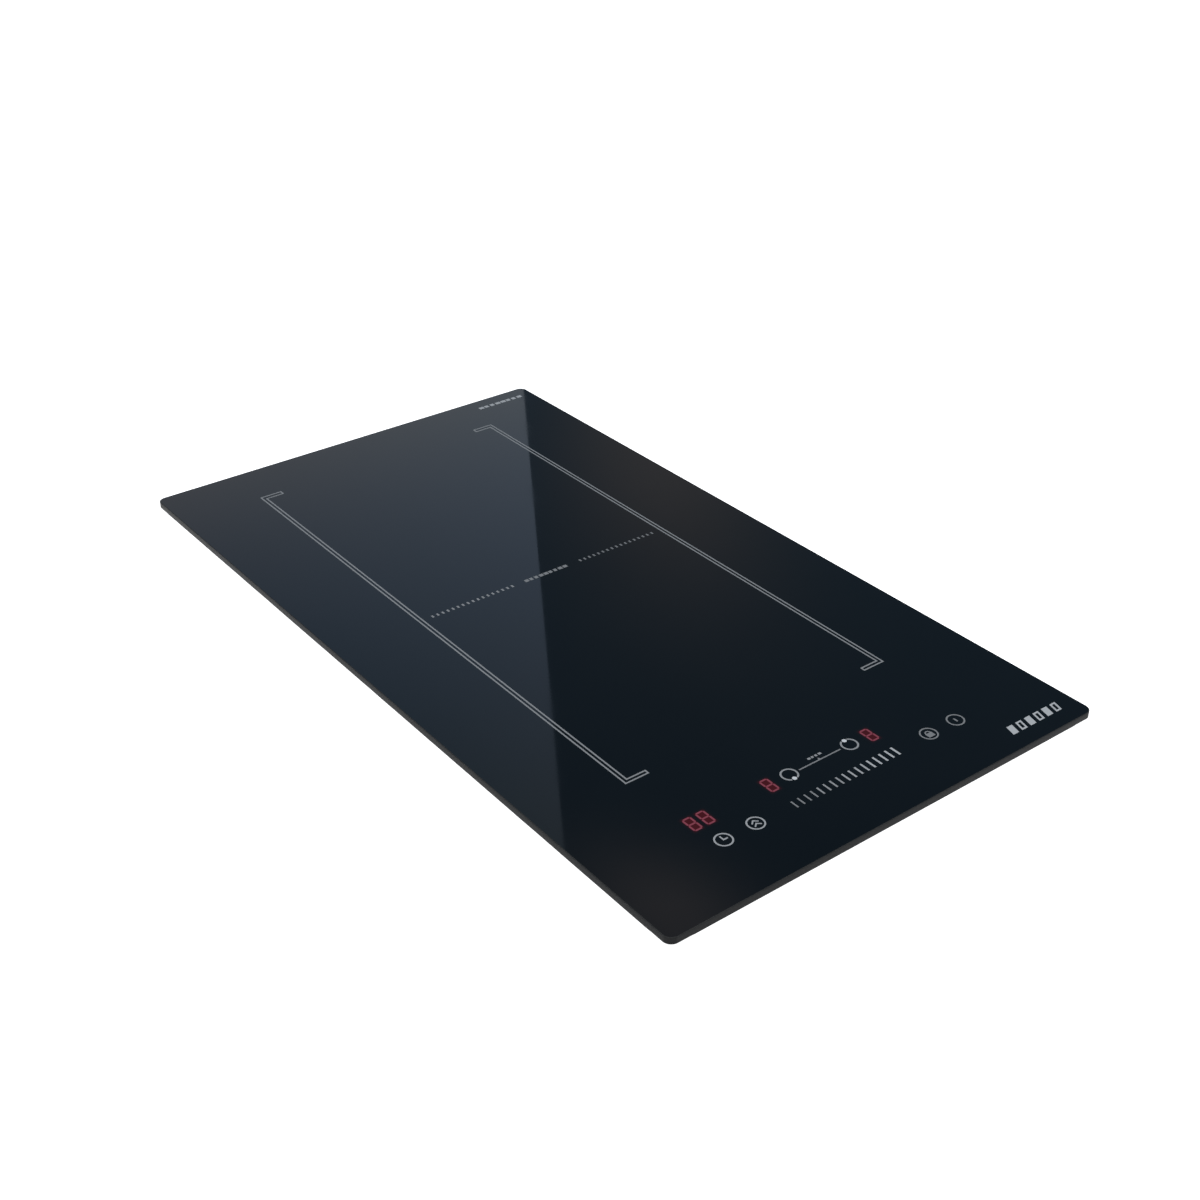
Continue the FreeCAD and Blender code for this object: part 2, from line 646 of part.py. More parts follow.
def coil_leads(where):
    """The coil's two sleeved leads, each ending in a ring lug under a screw."""
    gate, wires = lead_gates()[where], []
    lug_z = (BOARD_Z[1] + 4, BOARD_Z[1] + 5)
    for side, x, lug_y in zip((-1, 1), LEAD_X, LUG_Y[where]):
        y, end = gate.y + side * 5, lug_y - 6
        points = [
            (COIL_W / 2 + 1.4, y, -3.3),
            (x - 3, y, -5),
            (x, y + 1, -16),
            (x, y + 0.12 * (end - y), -28),
            (x, y + 0.5 * (end - y), -35),
            (x, y + 0.8 * (end - y), -37.8),
            (x, end - 0.4, -38.4),
        ]
        ring_lug = post(x, lug_y, lug_z, 3.6).cut(post(x, lug_y, lug_z, 1.6))
        tongue = block((x - 1.5, x + 1.5), (end, lug_y - 3.2), lug_z)
        wires += [lead(points, 1.7), join([ring_lug, tongue])]
    return wires


# ---- blower ---------------------------------------------------------------------------------

DUCT_END = 50.0
IMPELLER_R, IMPELLER_EYE = 34.0, 25.0
IMPELLER_Z = (-46.5, -31.5)


def scroll_face(inset, z, overrun=0.0):
    """The spiral outline of the casing, drawn in by inset, with its duct towards +Y."""
    spiral = []
    for n in range(20):
        angle = SCROLL_START + (SCROLL_END - SCROLL_START) * n / 19
        r, turn = scroll_radius(angle) - inset, math.radians(angle)
        spiral.append(V(r * math.cos(turn), r * math.sin(turn), z))
    curve = Part.BSplineCurve()
    curve.interpolate(spiral)
    first, last, end = spiral[0], spiral[-1], DUCT_END + overrun
    outer, inner = V(last.x, end, z), V(first.x + inset, end, z)
    tongue = V(first.x + inset, first.y, z)
    edges = [curve.toShape(), Part.LineSegment(last, outer).toShape()]
    edges += [Part.LineSegment(outer, inner).toShape(), Part.LineSegment(inner, tongue).toShape()]
    if inset:
        edges.append(Part.LineSegment(tongue, first).toShape())
    return Part.Face(Part.Wire(edges)).translated(BLOWER)


def scroll_radius(angle):
    """The casing's outer radius at an angle in degrees."""
    share = (angle - SCROLL_START) / (SCROLL_END - SCROLL_START)
    return SCROLL_R[0] + (SCROLL_R[1] - SCROLL_R[0]) * share


def blower_ears():
    """Centres of the three screw ears around the casing."""
    places = []
    for angle in (135, 225, 315):
        reach, turn = scroll_radius(angle) + 2.5, math.radians(angle)
        places.append((BLOWER.x + reach * math.cos(turn), BLOWER.y + reach * math.sin(turn)))
    return places


def blower_casing():
    """Spiral casing, open above, with the intake in its floor and three screw ears."""
    low, high = BLOWER_Z[0], BLOWER_Z[1] - CASE_WALL
    shell = scroll_face(0, low).extrude(V(0, 0, high - low))
    ears = [post(x, y, (low, low + 7), 3.6) for x, y in blower_ears()]
    bores = [post(x, y, (low - 1, low + 6), PILOT_R) for x, y in blower_ears()]
    cavity = scroll_face(CASE_WALL, low + CASE_WALL, 2).extrude(V(0, 0, high - low))
    intake = post(BLOWER.x, BLOWER.y, (low - 1, low + 3), IMPELLER_EYE + 3)
    return cut(join([shell, *ears]), [cavity, intake, *bores])


def blower_cover():
    """Flat lid of the casing, which carries the motor and its bearing."""
    low, high = BLOWER_Z[1] - CASE_WALL, BLOWER_Z[1]
    lid = scroll_face(0, low).extrude(V(0, 0, high - low))
    boss = post(BLOWER.x, BLOWER.y, (low - 6, high), 4)
    bore = post(BLOWER.x, BLOWER.y, (low - 7, high - 1.0), 2.6)
    return cut(join([lid, boss]), [bore])


def bearing_bush():
    """Sintered bush in the cover's boss."""
    z = (BLOWER_Z[1] - 7.5, BLOWER_Z[1] - 1.2)
    return post(BLOWER.x, BLOWER.y, z, 2.6).cut(post(BLOWER.x, BLOWER.y, z, 1.55))


def motor_stator():
    """Six-pole stator around the boss."""
    z = (BLOWER_Z[1] - 7.0, BLOWER_Z[1] - 2.5)
    hub = post(BLOWER.x, BLOWER.y, z, 6.5)
    poles = []
    for n in range(6):
        neck = block((5, 11), (-1.4, 1.4), z)
        shoe = post(0, 0, z, 12.5).cut(post(0, 0, z, 11)).common(
            block((9, 13), (-4.8, 4.8), z)
        )
        for piece in (neck, shoe):
            piece.rotate(V(0, 0, 0), UP, 60 * n)
            poles.append(piece.translated(BLOWER))
    core = join([hub, *poles])
    return cut(core, [post(BLOWER.x, BLOWER.y, (z[0] - 1, z[1] + 1), 4)])


def blower_rotor():
    """Impeller: a magnet cup, a back disc and forward-curved blades between two rings."""
    top = IMPELLER_Z[1]
    cup = post(0, 0, (top - 5.5, BLOWER_Z[1] - 2.6), 15.5)
    cup = cup.cut(post(0, 0, (top - 4.2, BLOWER_Z[1]), 13.6))
    disc = post(0, 0, (top - 5.5, top - 4.2), IMPELLER_R)
    rim = post(0, 0, (IMPELLER_Z[0], IMPELLER_Z[0] + 1.4), IMPELLER_R)
    rim = rim.cut(post(0, 0, (IMPELLER_Z[0] - 1, IMPELLER_Z[0] + 3), IMPELLER_R - 2))
    hub = post(0, 0, (top - 8.5, top - 4.3), 3.4)
    blades = []
    for n in range(28):
        z0, height = IMPELLER_Z[0], top - 4.3 - IMPELLER_Z[0]
        arc = Part.makeCylinder(8.0, height, V(30, -5.6, z0), UP)
        arc = arc.cut(Part.makeCylinder(7.2, height, V(30, -5.6, z0), UP))
        keep = post(0, 0, (z0, z0 + height), IMPELLER_R).cut(
            post(0, 0, (z0, z0 + height), IMPELLER_EYE)
        )
        blade = arc.common(keep).common(block((20, 40), (-3.5, 12), (z0, z0 + height)))
        blade.rotate(V(0, 0, 0), UP, 360 * n / 28)
        blades.append(blade)
    body = join([cup, disc, rim, hub, *blades])
    return cut(body, [post(0, 0, (top - 9, BLOWER_Z[1]), 1.4)]).translated(BLOWER)


def rotor_shaft():
    """Steel shaft pressed into the impeller, running in the bush."""
    z = (IMPELLER_Z[1] - 8.5, BLOWER_Z[1] - 1.3)
    shoulder = IMPELLER_Z[1] - 4.2
    lower = post(BLOWER.x, BLOWER.y, (z[0], shoulder), 1.4)
    return join([lower, post(BLOWER.x, BLOWER.y, (shoulder, z[1]), 1.5)])


def fan_lead():
    """Pair of thin wires from the motor's side of the casing to the board."""
    wires = []
    for side in (-1, 1):
        x = FAN_PLUG_X - 1.4 * side
        points = [
            (-19.4, -104 + 2.2 * side, -32),
            (x - 5, -103 + 2.2 * side, -34),
            (x, -92 + 1.5 * side, -38.5),
            (x, -72, -40),
            (x, -58, -36),
            (x, -50.6, -33.2),
            (x, -50, -38.6),
        ]
        wires.append(lead(points, 0.8))
    return wires


# ---- touch control --------------------------------------------------------------------------

DIGITS_X = (-84.0, -76.0, -34.3, 34.3)
KEYS_X = (-80.0, -59.6, 59.6, 79.6)
ZONE_KEYS_X = (-20.7, 20.7)
TOUCH_X, TOUCH_Y = (-108.0, 108.0), (-234.0, -190.0)
TOUCH_SCREWS = [(x, y) for x in (-101, 101) for y in (-230, -194)]


def touch_holder():
    """Moulded tray under the touch board, on four legs that stand on the pan's floor."""
    plate = block((TOUCH_X[0] - 2, TOUCH_X[1] + 2), (TOUCH_Y[0] - 2, TOUCH_Y[1] + 2), (-9.6, -5.9))
    well = block(
        (TOUCH_X[0] - 0.2, TOUCH_X[1] + 0.2), (TOUCH_Y[0] - 0.2, TOUCH_Y[1] + 0.2), (-8.0, -5)
    )
    bosses = [post(x, y, (-9.0, TOUCH_BOARD_Z[0]), 3.2) for x, y in TOUCH_SCREWS]
    bosses.append(block((-90, 90), (-213, -211.5), (-9, TOUCH_BOARD_Z[0])))
    legs = [post(x, y, (FLOOR_TOP, -9.0), 4.5) for x, y in TOUCH_LEGS]
    bores = [post(x, y, (FLOOR_TOP - 1, FLOOR_TOP + 9), PILOT_R) for x, y in TOUCH_LEGS]
    bores += [post(x, y, (-9.0, TOUCH_BOARD_Z[0]), PILOT_R) for x, y in TOUCH_SCREWS]
    return cut(join([plate.cut(well), *bosses, *legs]), bores)


def touch_board():
    board = block(TOUCH_X, TOUCH_Y, TOUCH_BOARD_Z)
    through = (TOUCH_BOARD_Z[0] - 1, TOUCH_BOARD_Z[1] + 1)
    return cut(board, [post(x, y, through, 1.6) for x, y in TOUCH_SCREWS])


def digit_displays():
    """Seven-segment modules: a pair for the timer and one for each zone."""
    z = (TOUCH_BOARD_Z[1], GLASS_LOW - 0.3)
    pair_x = (DIGITS_X[0] + DIGITS_X[1]) / 2
    modules = [rounded(17, 16, 0.8, z, (pair_x, DISPLAY_Y))]
    modules += [rounded(9, 16, 0.8, z, (x, DISPLAY_Y)) for x in DIGITS_X[2:]]
    return group(modules)


def touch_pads():
    """Conductive foam pads from the board up to the glass, one under each touch field."""
    z = (TOUCH_BOARD_Z[1], GLASS_LOW - FIT)
    pads = [post(x, KEY_Y, z, 4.5) for x in KEYS_X]
    pads += [post(x, DISPLAY_Y, z, 4.5) for x in (*ZONE_KEYS_X, 0)]
    pads += [post(-31 + 12.4 * n, KEY_Y, z, 4.8) for n in range(6)]
    return group(pads)


def ribbon_cable():
    """Flat cable from the touch board, down under the tray, to the power board."""
    points = [(-194.5, -5.1), (-184, -5.1), (-173, -14), (-168, -26), (-155, -34), (-130, -37.5)]
    points += [(-90, -38.5), (-62, -36), (-50.2, -32.6), (-50, -38.8)]
    flat = [(0, y, z) for y, z in points]
    path = route([(x + RIBBON_X, y, z) for x, y, z in flat])
    start, along = V(*flat[0]), V(*flat[1]) - V(*flat[0])
    side = V(0, -along.z, along.y).normalize() * 0.45
    middle = start + V(RIBBON_X, 0, 0)
    across = V(9, 0, 0)
    corners = [middle - across + side, middle + across + side, middle + across - side]
    corners.append(middle - across - side)
    profile = Part.makePolygon([*corners, corners[0]])
    return path.makePipeShell([profile], True, False)


# ---- mains terminal -------------------------------------------------------------------------

HINGE_X = (56.0, 112.0)
KNUCKLE_R, PIN_R = 1.5, 0.6
BLOCK_X, BLOCK_Y, BLOCK_Z = (60.0, 112.0), (206.0, 222.0), (-47.5, -35.0)
MAINS_X = (66, 84, 102)     # the mains wires, in line with their sockets


def terminal_box():
    """Moulded box inside the rear wall, open to the gland and to the cover's window."""
    outer = block(TERMINAL_X, TERMINAL_Y, TERMINAL_Z)
    inner = block(
        (TERMINAL_X[0] + 1.8, TERMINAL_X[1] - 1.8),
        (TERMINAL_Y[0] + 1.8, TERMINAL_Y[1] + 1),
        (TERMINAL_Z[0] + 1.8, TERMINAL_Z[1] - 1.6),
    )
    exits = [bar(V(x, TERMINAL_Y[0] - 1, -39), V(x, TERMINAL_Y[0] + 3, -39), 2.4) for x in MAINS_X]
    return cut(outer, [inner, *exits])


def terminal_block():
    """Insulating block with a clamp cell for each core."""
    body = block(BLOCK_X, BLOCK_Y, BLOCK_Z)
    cells = []
    for n in range(5):
        x = BLOCK_X[0] + 5.2 + n * 10.4
        cells.append(block((x - 3.6, x + 3.6), (BLOCK_Y[1] - 5, BLOCK_Y[1] + 1), (-46, -41.5)))
        cells.append(bar(V(x, BLOCK_Y[1] - 9, -38), V(x, BLOCK_Y[1] + 1, -38), 2.6))
    return cut(body, cells)


def terminal_screws():
    """Brass clamp screws, sunk in the block and turned from the rear."""
    seats = [V(BLOCK_X[0] + 5.2 + n * 10.4, BLOCK_Y[1] - 4, -38) for n in range(5)]
    return group(screw(s, V(0, -1, 0), length=4.6, radius=1.6, head_r=2.4) for s in seats)


def hinge_lugs():
    """The three fixed knuckles of the cover's hinge, on a leaf riveted to the rear wall."""
    y, z = COVER_AXIS
    leaf = block(HINGE_X, (REAR_FACE, REAR_FACE + 0.8), (z + 1.8, z + 7))
    parts = [leaf]
    for x in ((56, 62), (81, 87), (106, 112)):
        knuckle = bar(V(x[0], y, z), V(x[1], y, z), KNUCKLE_R)
        web = block(x, (REAR_FACE, y), (z + 0.2, z + 2.0))
        parts += [knuckle, web]
    bore = bar(V(50, y, z), V(120, y, z), PIN_R)
    return cut(join(parts), [bore])


def hinge_pin():
    y, z = COVER_AXIS
    return bar(V(HINGE_X[0], y, z), V(HINGE_X[1], y, z), PIN_R)


def terminal_cover():
    """Hinged cover over the terminal window, with two knuckles and two snap tongues."""
    y, z = COVER_AXIS
    low = COVER_WINDOW_Z[0] - 2.5
    plate = block((51, 117), (REAR_FACE + 0.3, REAR_FACE + 2.1), (low, z - 1.9))
    edges = [e for e in plate.Edges if abs(e.Vertexes[0].Y - e.Vertexes[1].Y) > 1e-6]
    parts = [plate.makeFillet(2, edges)]
    for x in ((63, 80), (88, 105)):
        parts.append(bar(V(x[0], y, z), V(x[1], y, z), KNUCKLE_R))
        parts.append(block(x, (y - 1.0, REAR_FACE + 2.1), (z - 2.2, z)))
    for x in (66, 96):
        tongue = (COVER_WINDOW_Z[0] + 1.2, COVER_WINDOW_Z[0] + 2.7)
        parts.append(block((x, x + 8), (REAR_FACE - 2.4, REAR_FACE + 0.4), tongue))
    grip = block((78, 90), (REAR_FACE + 2.0, REAR_FACE + 3.4), (low + 1, low + 3))
    bore = bar(V(50, y, z), V(120, y, z), PIN_R + 0.06)
    return cut(join([*parts, grip]), [bore])


def cable_gland():
    """Round inlet for the supply cable: a collar outside, a neck through the wall."""
    outward = V(0, 1, 0)
    neck = bar(GLAND + outward * -13, GLAND + outward * 2, 7)
    collar = bar(GLAND, GLAND + outward * 3.2, 9.5)
    rim = [e for e in collar.Edges if e.BoundBox.YMin > REAR_FACE + 3.1]
    bore = bar(GLAND + outward * -14, GLAND + outward * 4, 4.6)
    return cut(join([neck, collar.makeFillet(1, rim)]), [bore])


def gland_nut():
    """Hexagonal nut on the gland's neck, inside the terminal box."""
    corners = [V(10.5 * math.cos(math.radians(a)), 0, 10.5 * math.sin(math.radians(a)))
               for a in range(0, 360, 60)]
    back = GLAND + V(0, -7.5, 0)
    body = prism([back + c for c in corners], V(0, 4.5, 0))
    return body.cut(bar(GLAND + V(0, -9, 0), GLAND, 7))


def mains_wires():
    """Three insulated wires from the terminal block to the board's sockets."""
    wires = []
    for x in MAINS_X:
        points = [
            (x, BLOCK_Y[0] - 0.1, -39),
            (x, 196, -39),
            (x + 0.5, 187, -36.5),
            (x + 0.5, 179, -31),
            (x, 176, -34.2),
            (x, 176, -38.8),
        ]
        wires.append(lead(points, 1.3))
    return wires


def wiring():
    """All the loose wires inside: the coils' leads, the blower's pair and the mains wires."""
    return group([*coil_leads("front"), *coil_leads("rear"), *fan_lead(), *mains_wires()])


# ---- assembly -------------------------------------------------------------------------------

def all_nodes():
    """Every sub-part of the cooktop, by name."""
    makers = [
        glass_panel, worktop_seal, frame_adhesive, glass_frame, mica_sheets, wall_screws,
        base_pan, vent_grilles, intake_grille, rubber_feet, base_screws, coil_tray, support_posts,
        power_board, board_screws, heat_sink, power_chips, capacitors, filter_choke, transformer,
        board_sockets, blower_casing, blower_cover, bearing_bush, motor_stator, blower_rotor,
        rotor_shaft, wiring, touch_holder, touch_board, digit_displays, touch_pads, ribbon_cable,
        terminal_box, terminal_block, terminal_screws, hinge_lugs, hinge_pin, terminal_cover,
        cable_gland, gland_nut,
    ]
    nodes = {maker.__name__: maker() for maker in makers}
    for where in COIL_CENTRES:
        nodes.update(coil_nodes(where))
    nodes.update(side_clips())
    return nodes


def main():
    os.makedirs("parts", exist_ok=True)
    for name, shape in all_nodes().items():
        shape.exportStep(f"parts/{name}.step")
        print(f"{name}: {len(shape.Solids)} solids, {shape.Volume / 1000:.2f} cm3, {shape.isValid()}")


main()
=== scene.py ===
"""Looks of a two-zone built-in induction cooktop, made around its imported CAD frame.

Blender 4.5, metres, +Z up. The origin is on the worktop's top face, in the middle of the
cut-out: the glass lies above z = 0 and the housing hangs below it.
"""

import json
import math

import bpy
from mathutils import Matrix, Vector, noise

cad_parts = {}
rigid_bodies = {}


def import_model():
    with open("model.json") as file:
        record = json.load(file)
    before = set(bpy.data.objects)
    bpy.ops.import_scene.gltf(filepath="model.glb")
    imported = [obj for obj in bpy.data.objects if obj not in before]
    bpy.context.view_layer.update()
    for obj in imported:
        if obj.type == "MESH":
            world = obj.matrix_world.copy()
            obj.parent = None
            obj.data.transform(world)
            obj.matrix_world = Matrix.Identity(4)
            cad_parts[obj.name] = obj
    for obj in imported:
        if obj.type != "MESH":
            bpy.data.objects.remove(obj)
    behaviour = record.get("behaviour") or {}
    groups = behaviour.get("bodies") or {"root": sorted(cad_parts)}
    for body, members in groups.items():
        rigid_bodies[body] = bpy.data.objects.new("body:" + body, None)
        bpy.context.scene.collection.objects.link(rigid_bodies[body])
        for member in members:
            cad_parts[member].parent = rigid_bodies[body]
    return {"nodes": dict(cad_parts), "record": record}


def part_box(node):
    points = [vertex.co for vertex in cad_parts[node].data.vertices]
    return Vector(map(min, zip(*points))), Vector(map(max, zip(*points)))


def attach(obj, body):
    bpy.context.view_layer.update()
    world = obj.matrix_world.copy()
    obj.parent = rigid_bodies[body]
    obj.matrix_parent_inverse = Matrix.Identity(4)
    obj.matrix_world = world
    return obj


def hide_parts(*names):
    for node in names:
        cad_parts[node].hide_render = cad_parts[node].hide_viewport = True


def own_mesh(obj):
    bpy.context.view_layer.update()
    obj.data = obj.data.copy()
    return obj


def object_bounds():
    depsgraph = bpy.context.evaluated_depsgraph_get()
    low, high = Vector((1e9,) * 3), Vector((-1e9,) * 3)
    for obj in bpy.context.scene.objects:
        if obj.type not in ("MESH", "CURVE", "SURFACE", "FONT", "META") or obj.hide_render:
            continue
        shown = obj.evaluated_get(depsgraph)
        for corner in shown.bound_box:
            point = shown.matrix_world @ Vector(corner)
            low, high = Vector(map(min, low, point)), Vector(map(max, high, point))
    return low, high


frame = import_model()
cad_low, cad_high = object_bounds()

MM = 0.001

# The glass plate and the thin layers of its top, from the frame.
GLASS_LOW, GLASS_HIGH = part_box("glass_panel")
HALF_W, HALF_D = GLASS_HIGH.x, GLASS_HIGH.y
GLASS_CORNER = 5 * MM
GLASS_BEVEL = 0.3 * MM
ARRIS = 0.08 * MM
GLASS_TOP = GLASS_HIGH.z - 0.025 * MM
INK_LOW = GLASS_TOP - 0.005 * MM
GLOW_HIGH = GLASS_TOP + 0.01 * MM
INK_HIGH = GLASS_HIGH.z - 0.005 * MM

# Foam seal: how far in from the glass's rim, how wide, and its middle line's corner and steps.
SEAL_SETBACK, SEAL_WIDTH = 0.05 * MM, 12.5 * MM
SEAL_CORNER, SEAL_STEP = 9 * MM, 12 * MM

# Printed layout, in millimetres on the glass, x to the right and y away from the cook.
BRACKET_X = (75.0, 86.75, 90.1)
BRACKET_Y = (-160.5, 221.6)
BRACKET_ARM = (3.4, 4.2)
BRACKET_LINE = 0.95
DIVIDER_Y = 30.3
DIVIDER_X = (25.0, 80.5)
DIVIDER_MARKS = 17
DIGIT_SIZE = (5.6, 10.6)
DIGIT_STROKE = 1.05
DIGIT_GAP = 0.12
DIGIT_Y = -204.3
TIMER_X = (-84.1, -75.9)
ZONE_DIGIT_X = (-34.6, 34.6)
KEY_Y = -222.2
CLOCK_X, BOOST_X, LOCK_X, POWER_X = -79.9, -59.6, 59.6, 79.6
ZONE_KEY_X, ZONE_KEY_Y = 20.8, -203.9
SLIDER_X = (-35.1, 35.1)
SLIDER_TICKS = 17
SLIDER_GROUPS = 4
SLIDER_FOOT = -225.75

# Grey of each printed ink.
INK_LEVELS = {
    "white": 0.68,
    "strip": 0.5,
    "rear": 0.44,
    "bright": 0.37,
    "ring": 0.31,
    "line": 0.27,
    "dim": 0.23,
    "faint": 0.19,
}

# Coil windings: turns, strands of a bundle, points round it, steps of a turn, and how it tightens.
COIL_TURNS, COIL_STRANDS, COIL_SIDES, COIL_STEPS = 20, 7, 14, 132
COIL_CORNER, COIL_EYE_CORNER, COIL_EYE = 70 * MM, 22 * MM, 23.6 * MM
COIL_LAY = 14 * MM

# Camera: where it looks on the worktop plane, from which side, how far away and how long a lens.
AIM = Vector((10.8, -7.9, 0)) * MM
AZIMUTH, ELEVATION, ROLL = -37.35, 31.26, 0.18
DISTANCE = 0.9922
LENS = 50.75

# Stage: the worktop's cut-out is half its width, half its depth and its corner. The line between the
# two halves of the mirrored room is in millimetres on the glass, from its foot to its head.
WORKTOP_MARGIN = 28 * MM
WORKTOP_THICKNESS = 6 * MM
WORKTOP_CORNER = 20 * MM
WORKTOP_UNDERCUT = 48
WORKTOP_CUTOUT = (135 * MM, 245 * MM, 5 * MM)
FLOOR_REACH = 9.0
STAGE_GLOW = 0.93
CARD_HEIGHT = 1.5
CARD_CELLS = (40, 60)
CARD_REACH = (420, 900)
ROOM_SPLIT = (Vector((-141.4, -178.8)), Vector((139.0, 250.5)))
WORLD_COLOUR = (0.085, 0.125, 0.17, 1)
WORLD_WHITE = 1.05
SOFT_BOX_SIZE, SOFT_BOX_POWER = 2.0, 32
SOFT_BOX_PLACE = (-0.2, -0.3, 1.8)


# ---- materials ------------------------------------------------------------------------------


class Material:
    """A procedural material: one principled shader, fed by texture nodes in object space."""

    def __init__(self, name, **finish):
        self.data = bpy.data.materials.new(name)
        self.data.use_nodes = True
        self.tree = self.data.node_tree
        self.surface = self.tree.nodes["Principled BSDF"]
        self.place = self.node("TexCoord").outputs["Object"]
        for socket, value in finish.items():
            self.put(self.surface.inputs[socket.replace("_", " ")], value)

    def put(self, socket, value):
        """Links an output to a socket, or sets the socket's own value."""
        if isinstance(value, bpy.types.NodeSocket):
            self.tree.links.new(value, socket)
        else:
            socket.default_value = value

    def node(self, kind, values=None, **settings):
        made = self.tree.nodes.new("ShaderNode" + kind)
        for name, value in settings.items():
            setattr(made, name, value)
        for socket, value in (values or {}).items():
            self.put(made.inputs[socket], value)
        return made

    def stretched(self, stretch):
        if stretch == (1, 1, 1):
            return self.place
        return self.node("Mapping", {"Vector": self.place, "Scale": stretch}).outputs["Vector"]

    def noise(self, scale, detail=3.0, roughness=0.55, stretch=(1, 1, 1)):
        values = {"Scale": scale, "Detail": detail, "Roughness": roughness}
        values["Vector"] = self.stretched(stretch)
        return self.node("TexNoise", values).outputs["Fac"]

    def cells(self, scale, feature="F1", output="Distance", stretch=(1, 1, 1)):
        values = {"Scale": scale, "Vector": self.stretched(stretch)}
        return self.node("TexVoronoi", values, feature=feature).outputs[output]

    def waves(self, scale, direction="X", distortion=0.0):
        values = {"Scale": scale, "Distortion": distortion, "Vector": self.place}
        return self.node("TexWave", values, bands_direction=direction).outputs["Fac"]

    def map(self, value, low, high, start=0.0, end=1.0):
        values = {"Value": value, "From Min": start, "From Max": end, "To Min": low, "To Max": high}
        return self.node("MapRange", values).outputs["Result"]

    def maths(self, operation, first, second):
        made = self.node("Math", operation=operation)
        self.put(made.inputs[0], first)
        self.put(made.inputs[1], second)
        return made.outputs[0]

    def ramp(self, factor, *stops):
        """Colours along a factor, each stop a place and a colour."""
        made = self.node("ValToRGB", {"Fac": factor})
        elements = made.color_ramp.elements
        while len(elements) < len(stops):
            elements.new(1.0)
        for element, (place, colour) in zip(elements, stops):
            element.position = place
            element.color = (*colour, 1)
        return made.outputs["Color"]

    def set(self, **sockets):
        for socket, value in sockets.items():
            self.put(self.surface.inputs[socket.replace("_", " ")], value)

    def bump(self, height, distance, strength=1.0):
        values = {"Height": height, "Distance": distance, "Strength": strength}
        self.set(Normal=self.node("Bump", values).outputs["Normal"])


def shades(colour, spread):
    """A darker and a lighter version of a colour."""
    return [tuple(c * (1 + sign * spread) for c in colour) for sign in (-1, 1)]


def polished_glass(name):
    """Black glass-ceramic: a polished face with faint wipe marks."""
    made = Material(name, IOR=1.5)
    clouds = made.noise(9, 5, 0.6)
    wipes = made.noise(30, 4, 0.6, (1, 0.12, 1))
    made.set(Base_Color=made.ramp(clouds, (0.3, (0.0009, 0.0011, 0.0013)), (0.7, (0.0017, 0.0019, 0.0022))))
    made.set(Roughness=made.map(wipes, 0.012, 0.05, 0.3, 0.75))
    made.bump(made.noise(4, 1), 0.00002, 0.2)
    return made


def glowing_glass(name, colour, strength):
    """The same glass, lit from behind by a display: the mesh's glow attribute gives how much."""
    made = polished_glass(name)
    glow = made.node("Attribute", attribute_name="glow").outputs["Fac"]
    made.set(Emission_Color=(*colour, 1), Emission_Strength=made.maths("MULTIPLY", glow, strength))
    return made


def lit_segment(name, colour, strength):
    """A lit bar of a display behind the glass, its glow mottled a little."""
    made = Material(name, IOR=1.5, Specular_IOR_Level=0.12, Roughness=0.03, Base_Color=(0.002, 0.001, 0.001, 1))
    mottle = made.noise(1400, 2)
    made.set(Emission_Color=(*colour, 1))
    made.set(Emission_Strength=made.map(mottle, strength * 0.9, strength * 1.1, 0.3, 0.7))
    return made


def ground_glass(name, level, roughness, gloss):
    """The glass's ground edge, with fine grinding lines along it, and painted shade darkening it towards its foot.
    """
    made = Material(name, IOR=1.5, Specular_IOR_Level=gloss)
    grit = made.noise(2600, 3)
    lines = made.noise(90, 3, 0.6, (1, 1, 14))
    height = made.node("SeparateXYZ", {"Vector": made.place}).outputs["Z"]
    # Painted shade: the base colour darkens over the edge's lowest 2.4 mm, towards where the glass sits.
    foot = made.map(height, 0.0, 0.6, GLASS_LOW.z + 1.2 * MM, GLASS_LOW.z + 2.4 * MM)
    mixed = made.maths("ADD", foot, made.maths("MULTIPLY", lines, 0.4))
    base = (level, level * 1.01, level * 1.02)
    made.set(Base_Color=made.ramp(mixed, (0.1, shades(base, 0.45)[0]), (0.9, shades(base, 0.1)[1])))
    made.set(Roughness=made.map(grit, roughness * 0.8, roughness * 1.25, 0.3, 0.7))
    made.bump(grit, 0.00003, 0.25)
    return made


def ceramic_ink(name, level):
    """Fired decor ink: grey, slightly glossy, printed through a screen."""
    made = Material(name, IOR=1.5, Specular_IOR_Level=0.4)
    screen = made.noise(2200, 2)
    tone = (level * 0.965, level, level * 1.035)
    dark, light = shades(tone, 0.08)
    made.set(Base_Color=made.ramp(screen, (0.3, dark), (0.7, light)))
    made.set(Roughness=made.map(screen, 0.32, 0.5, 0.3, 0.7))
    made.bump(screen, 0.00001, 0.3)
    return made


def galvanised(name, tone=0.4):
    """Hot-dip galvanised sheet: frost-like spangles of differing gloss."""
    made = Material(name, Metallic=1.0)
    spangle = made.cells(150, output="Color")
    shade = made.node("SeparateColor", {"Color": spangle}).outputs["Red"]
    streaks = made.noise(26, 4, 0.6, (1, 1, 0.3))
    mixed = made.maths("ADD", made.maths("MULTIPLY", shade, 0.6), made.maths("MULTIPLY", streaks, 0.4))
    dark = (tone * 0.84, tone * 0.87, tone * 0.9)
    light = (tone * 1.08, tone * 1.1, tone * 1.12)
    made.set(Base_Color=made.ramp(mixed, (0.25, dark), (0.8, light)))
    made.set(Roughness=made.map(mixed, 0.3, 0.46, 0.2, 0.8))
    made.bump(made.noise(900, 3), 0.00004, 0.25)
    return made


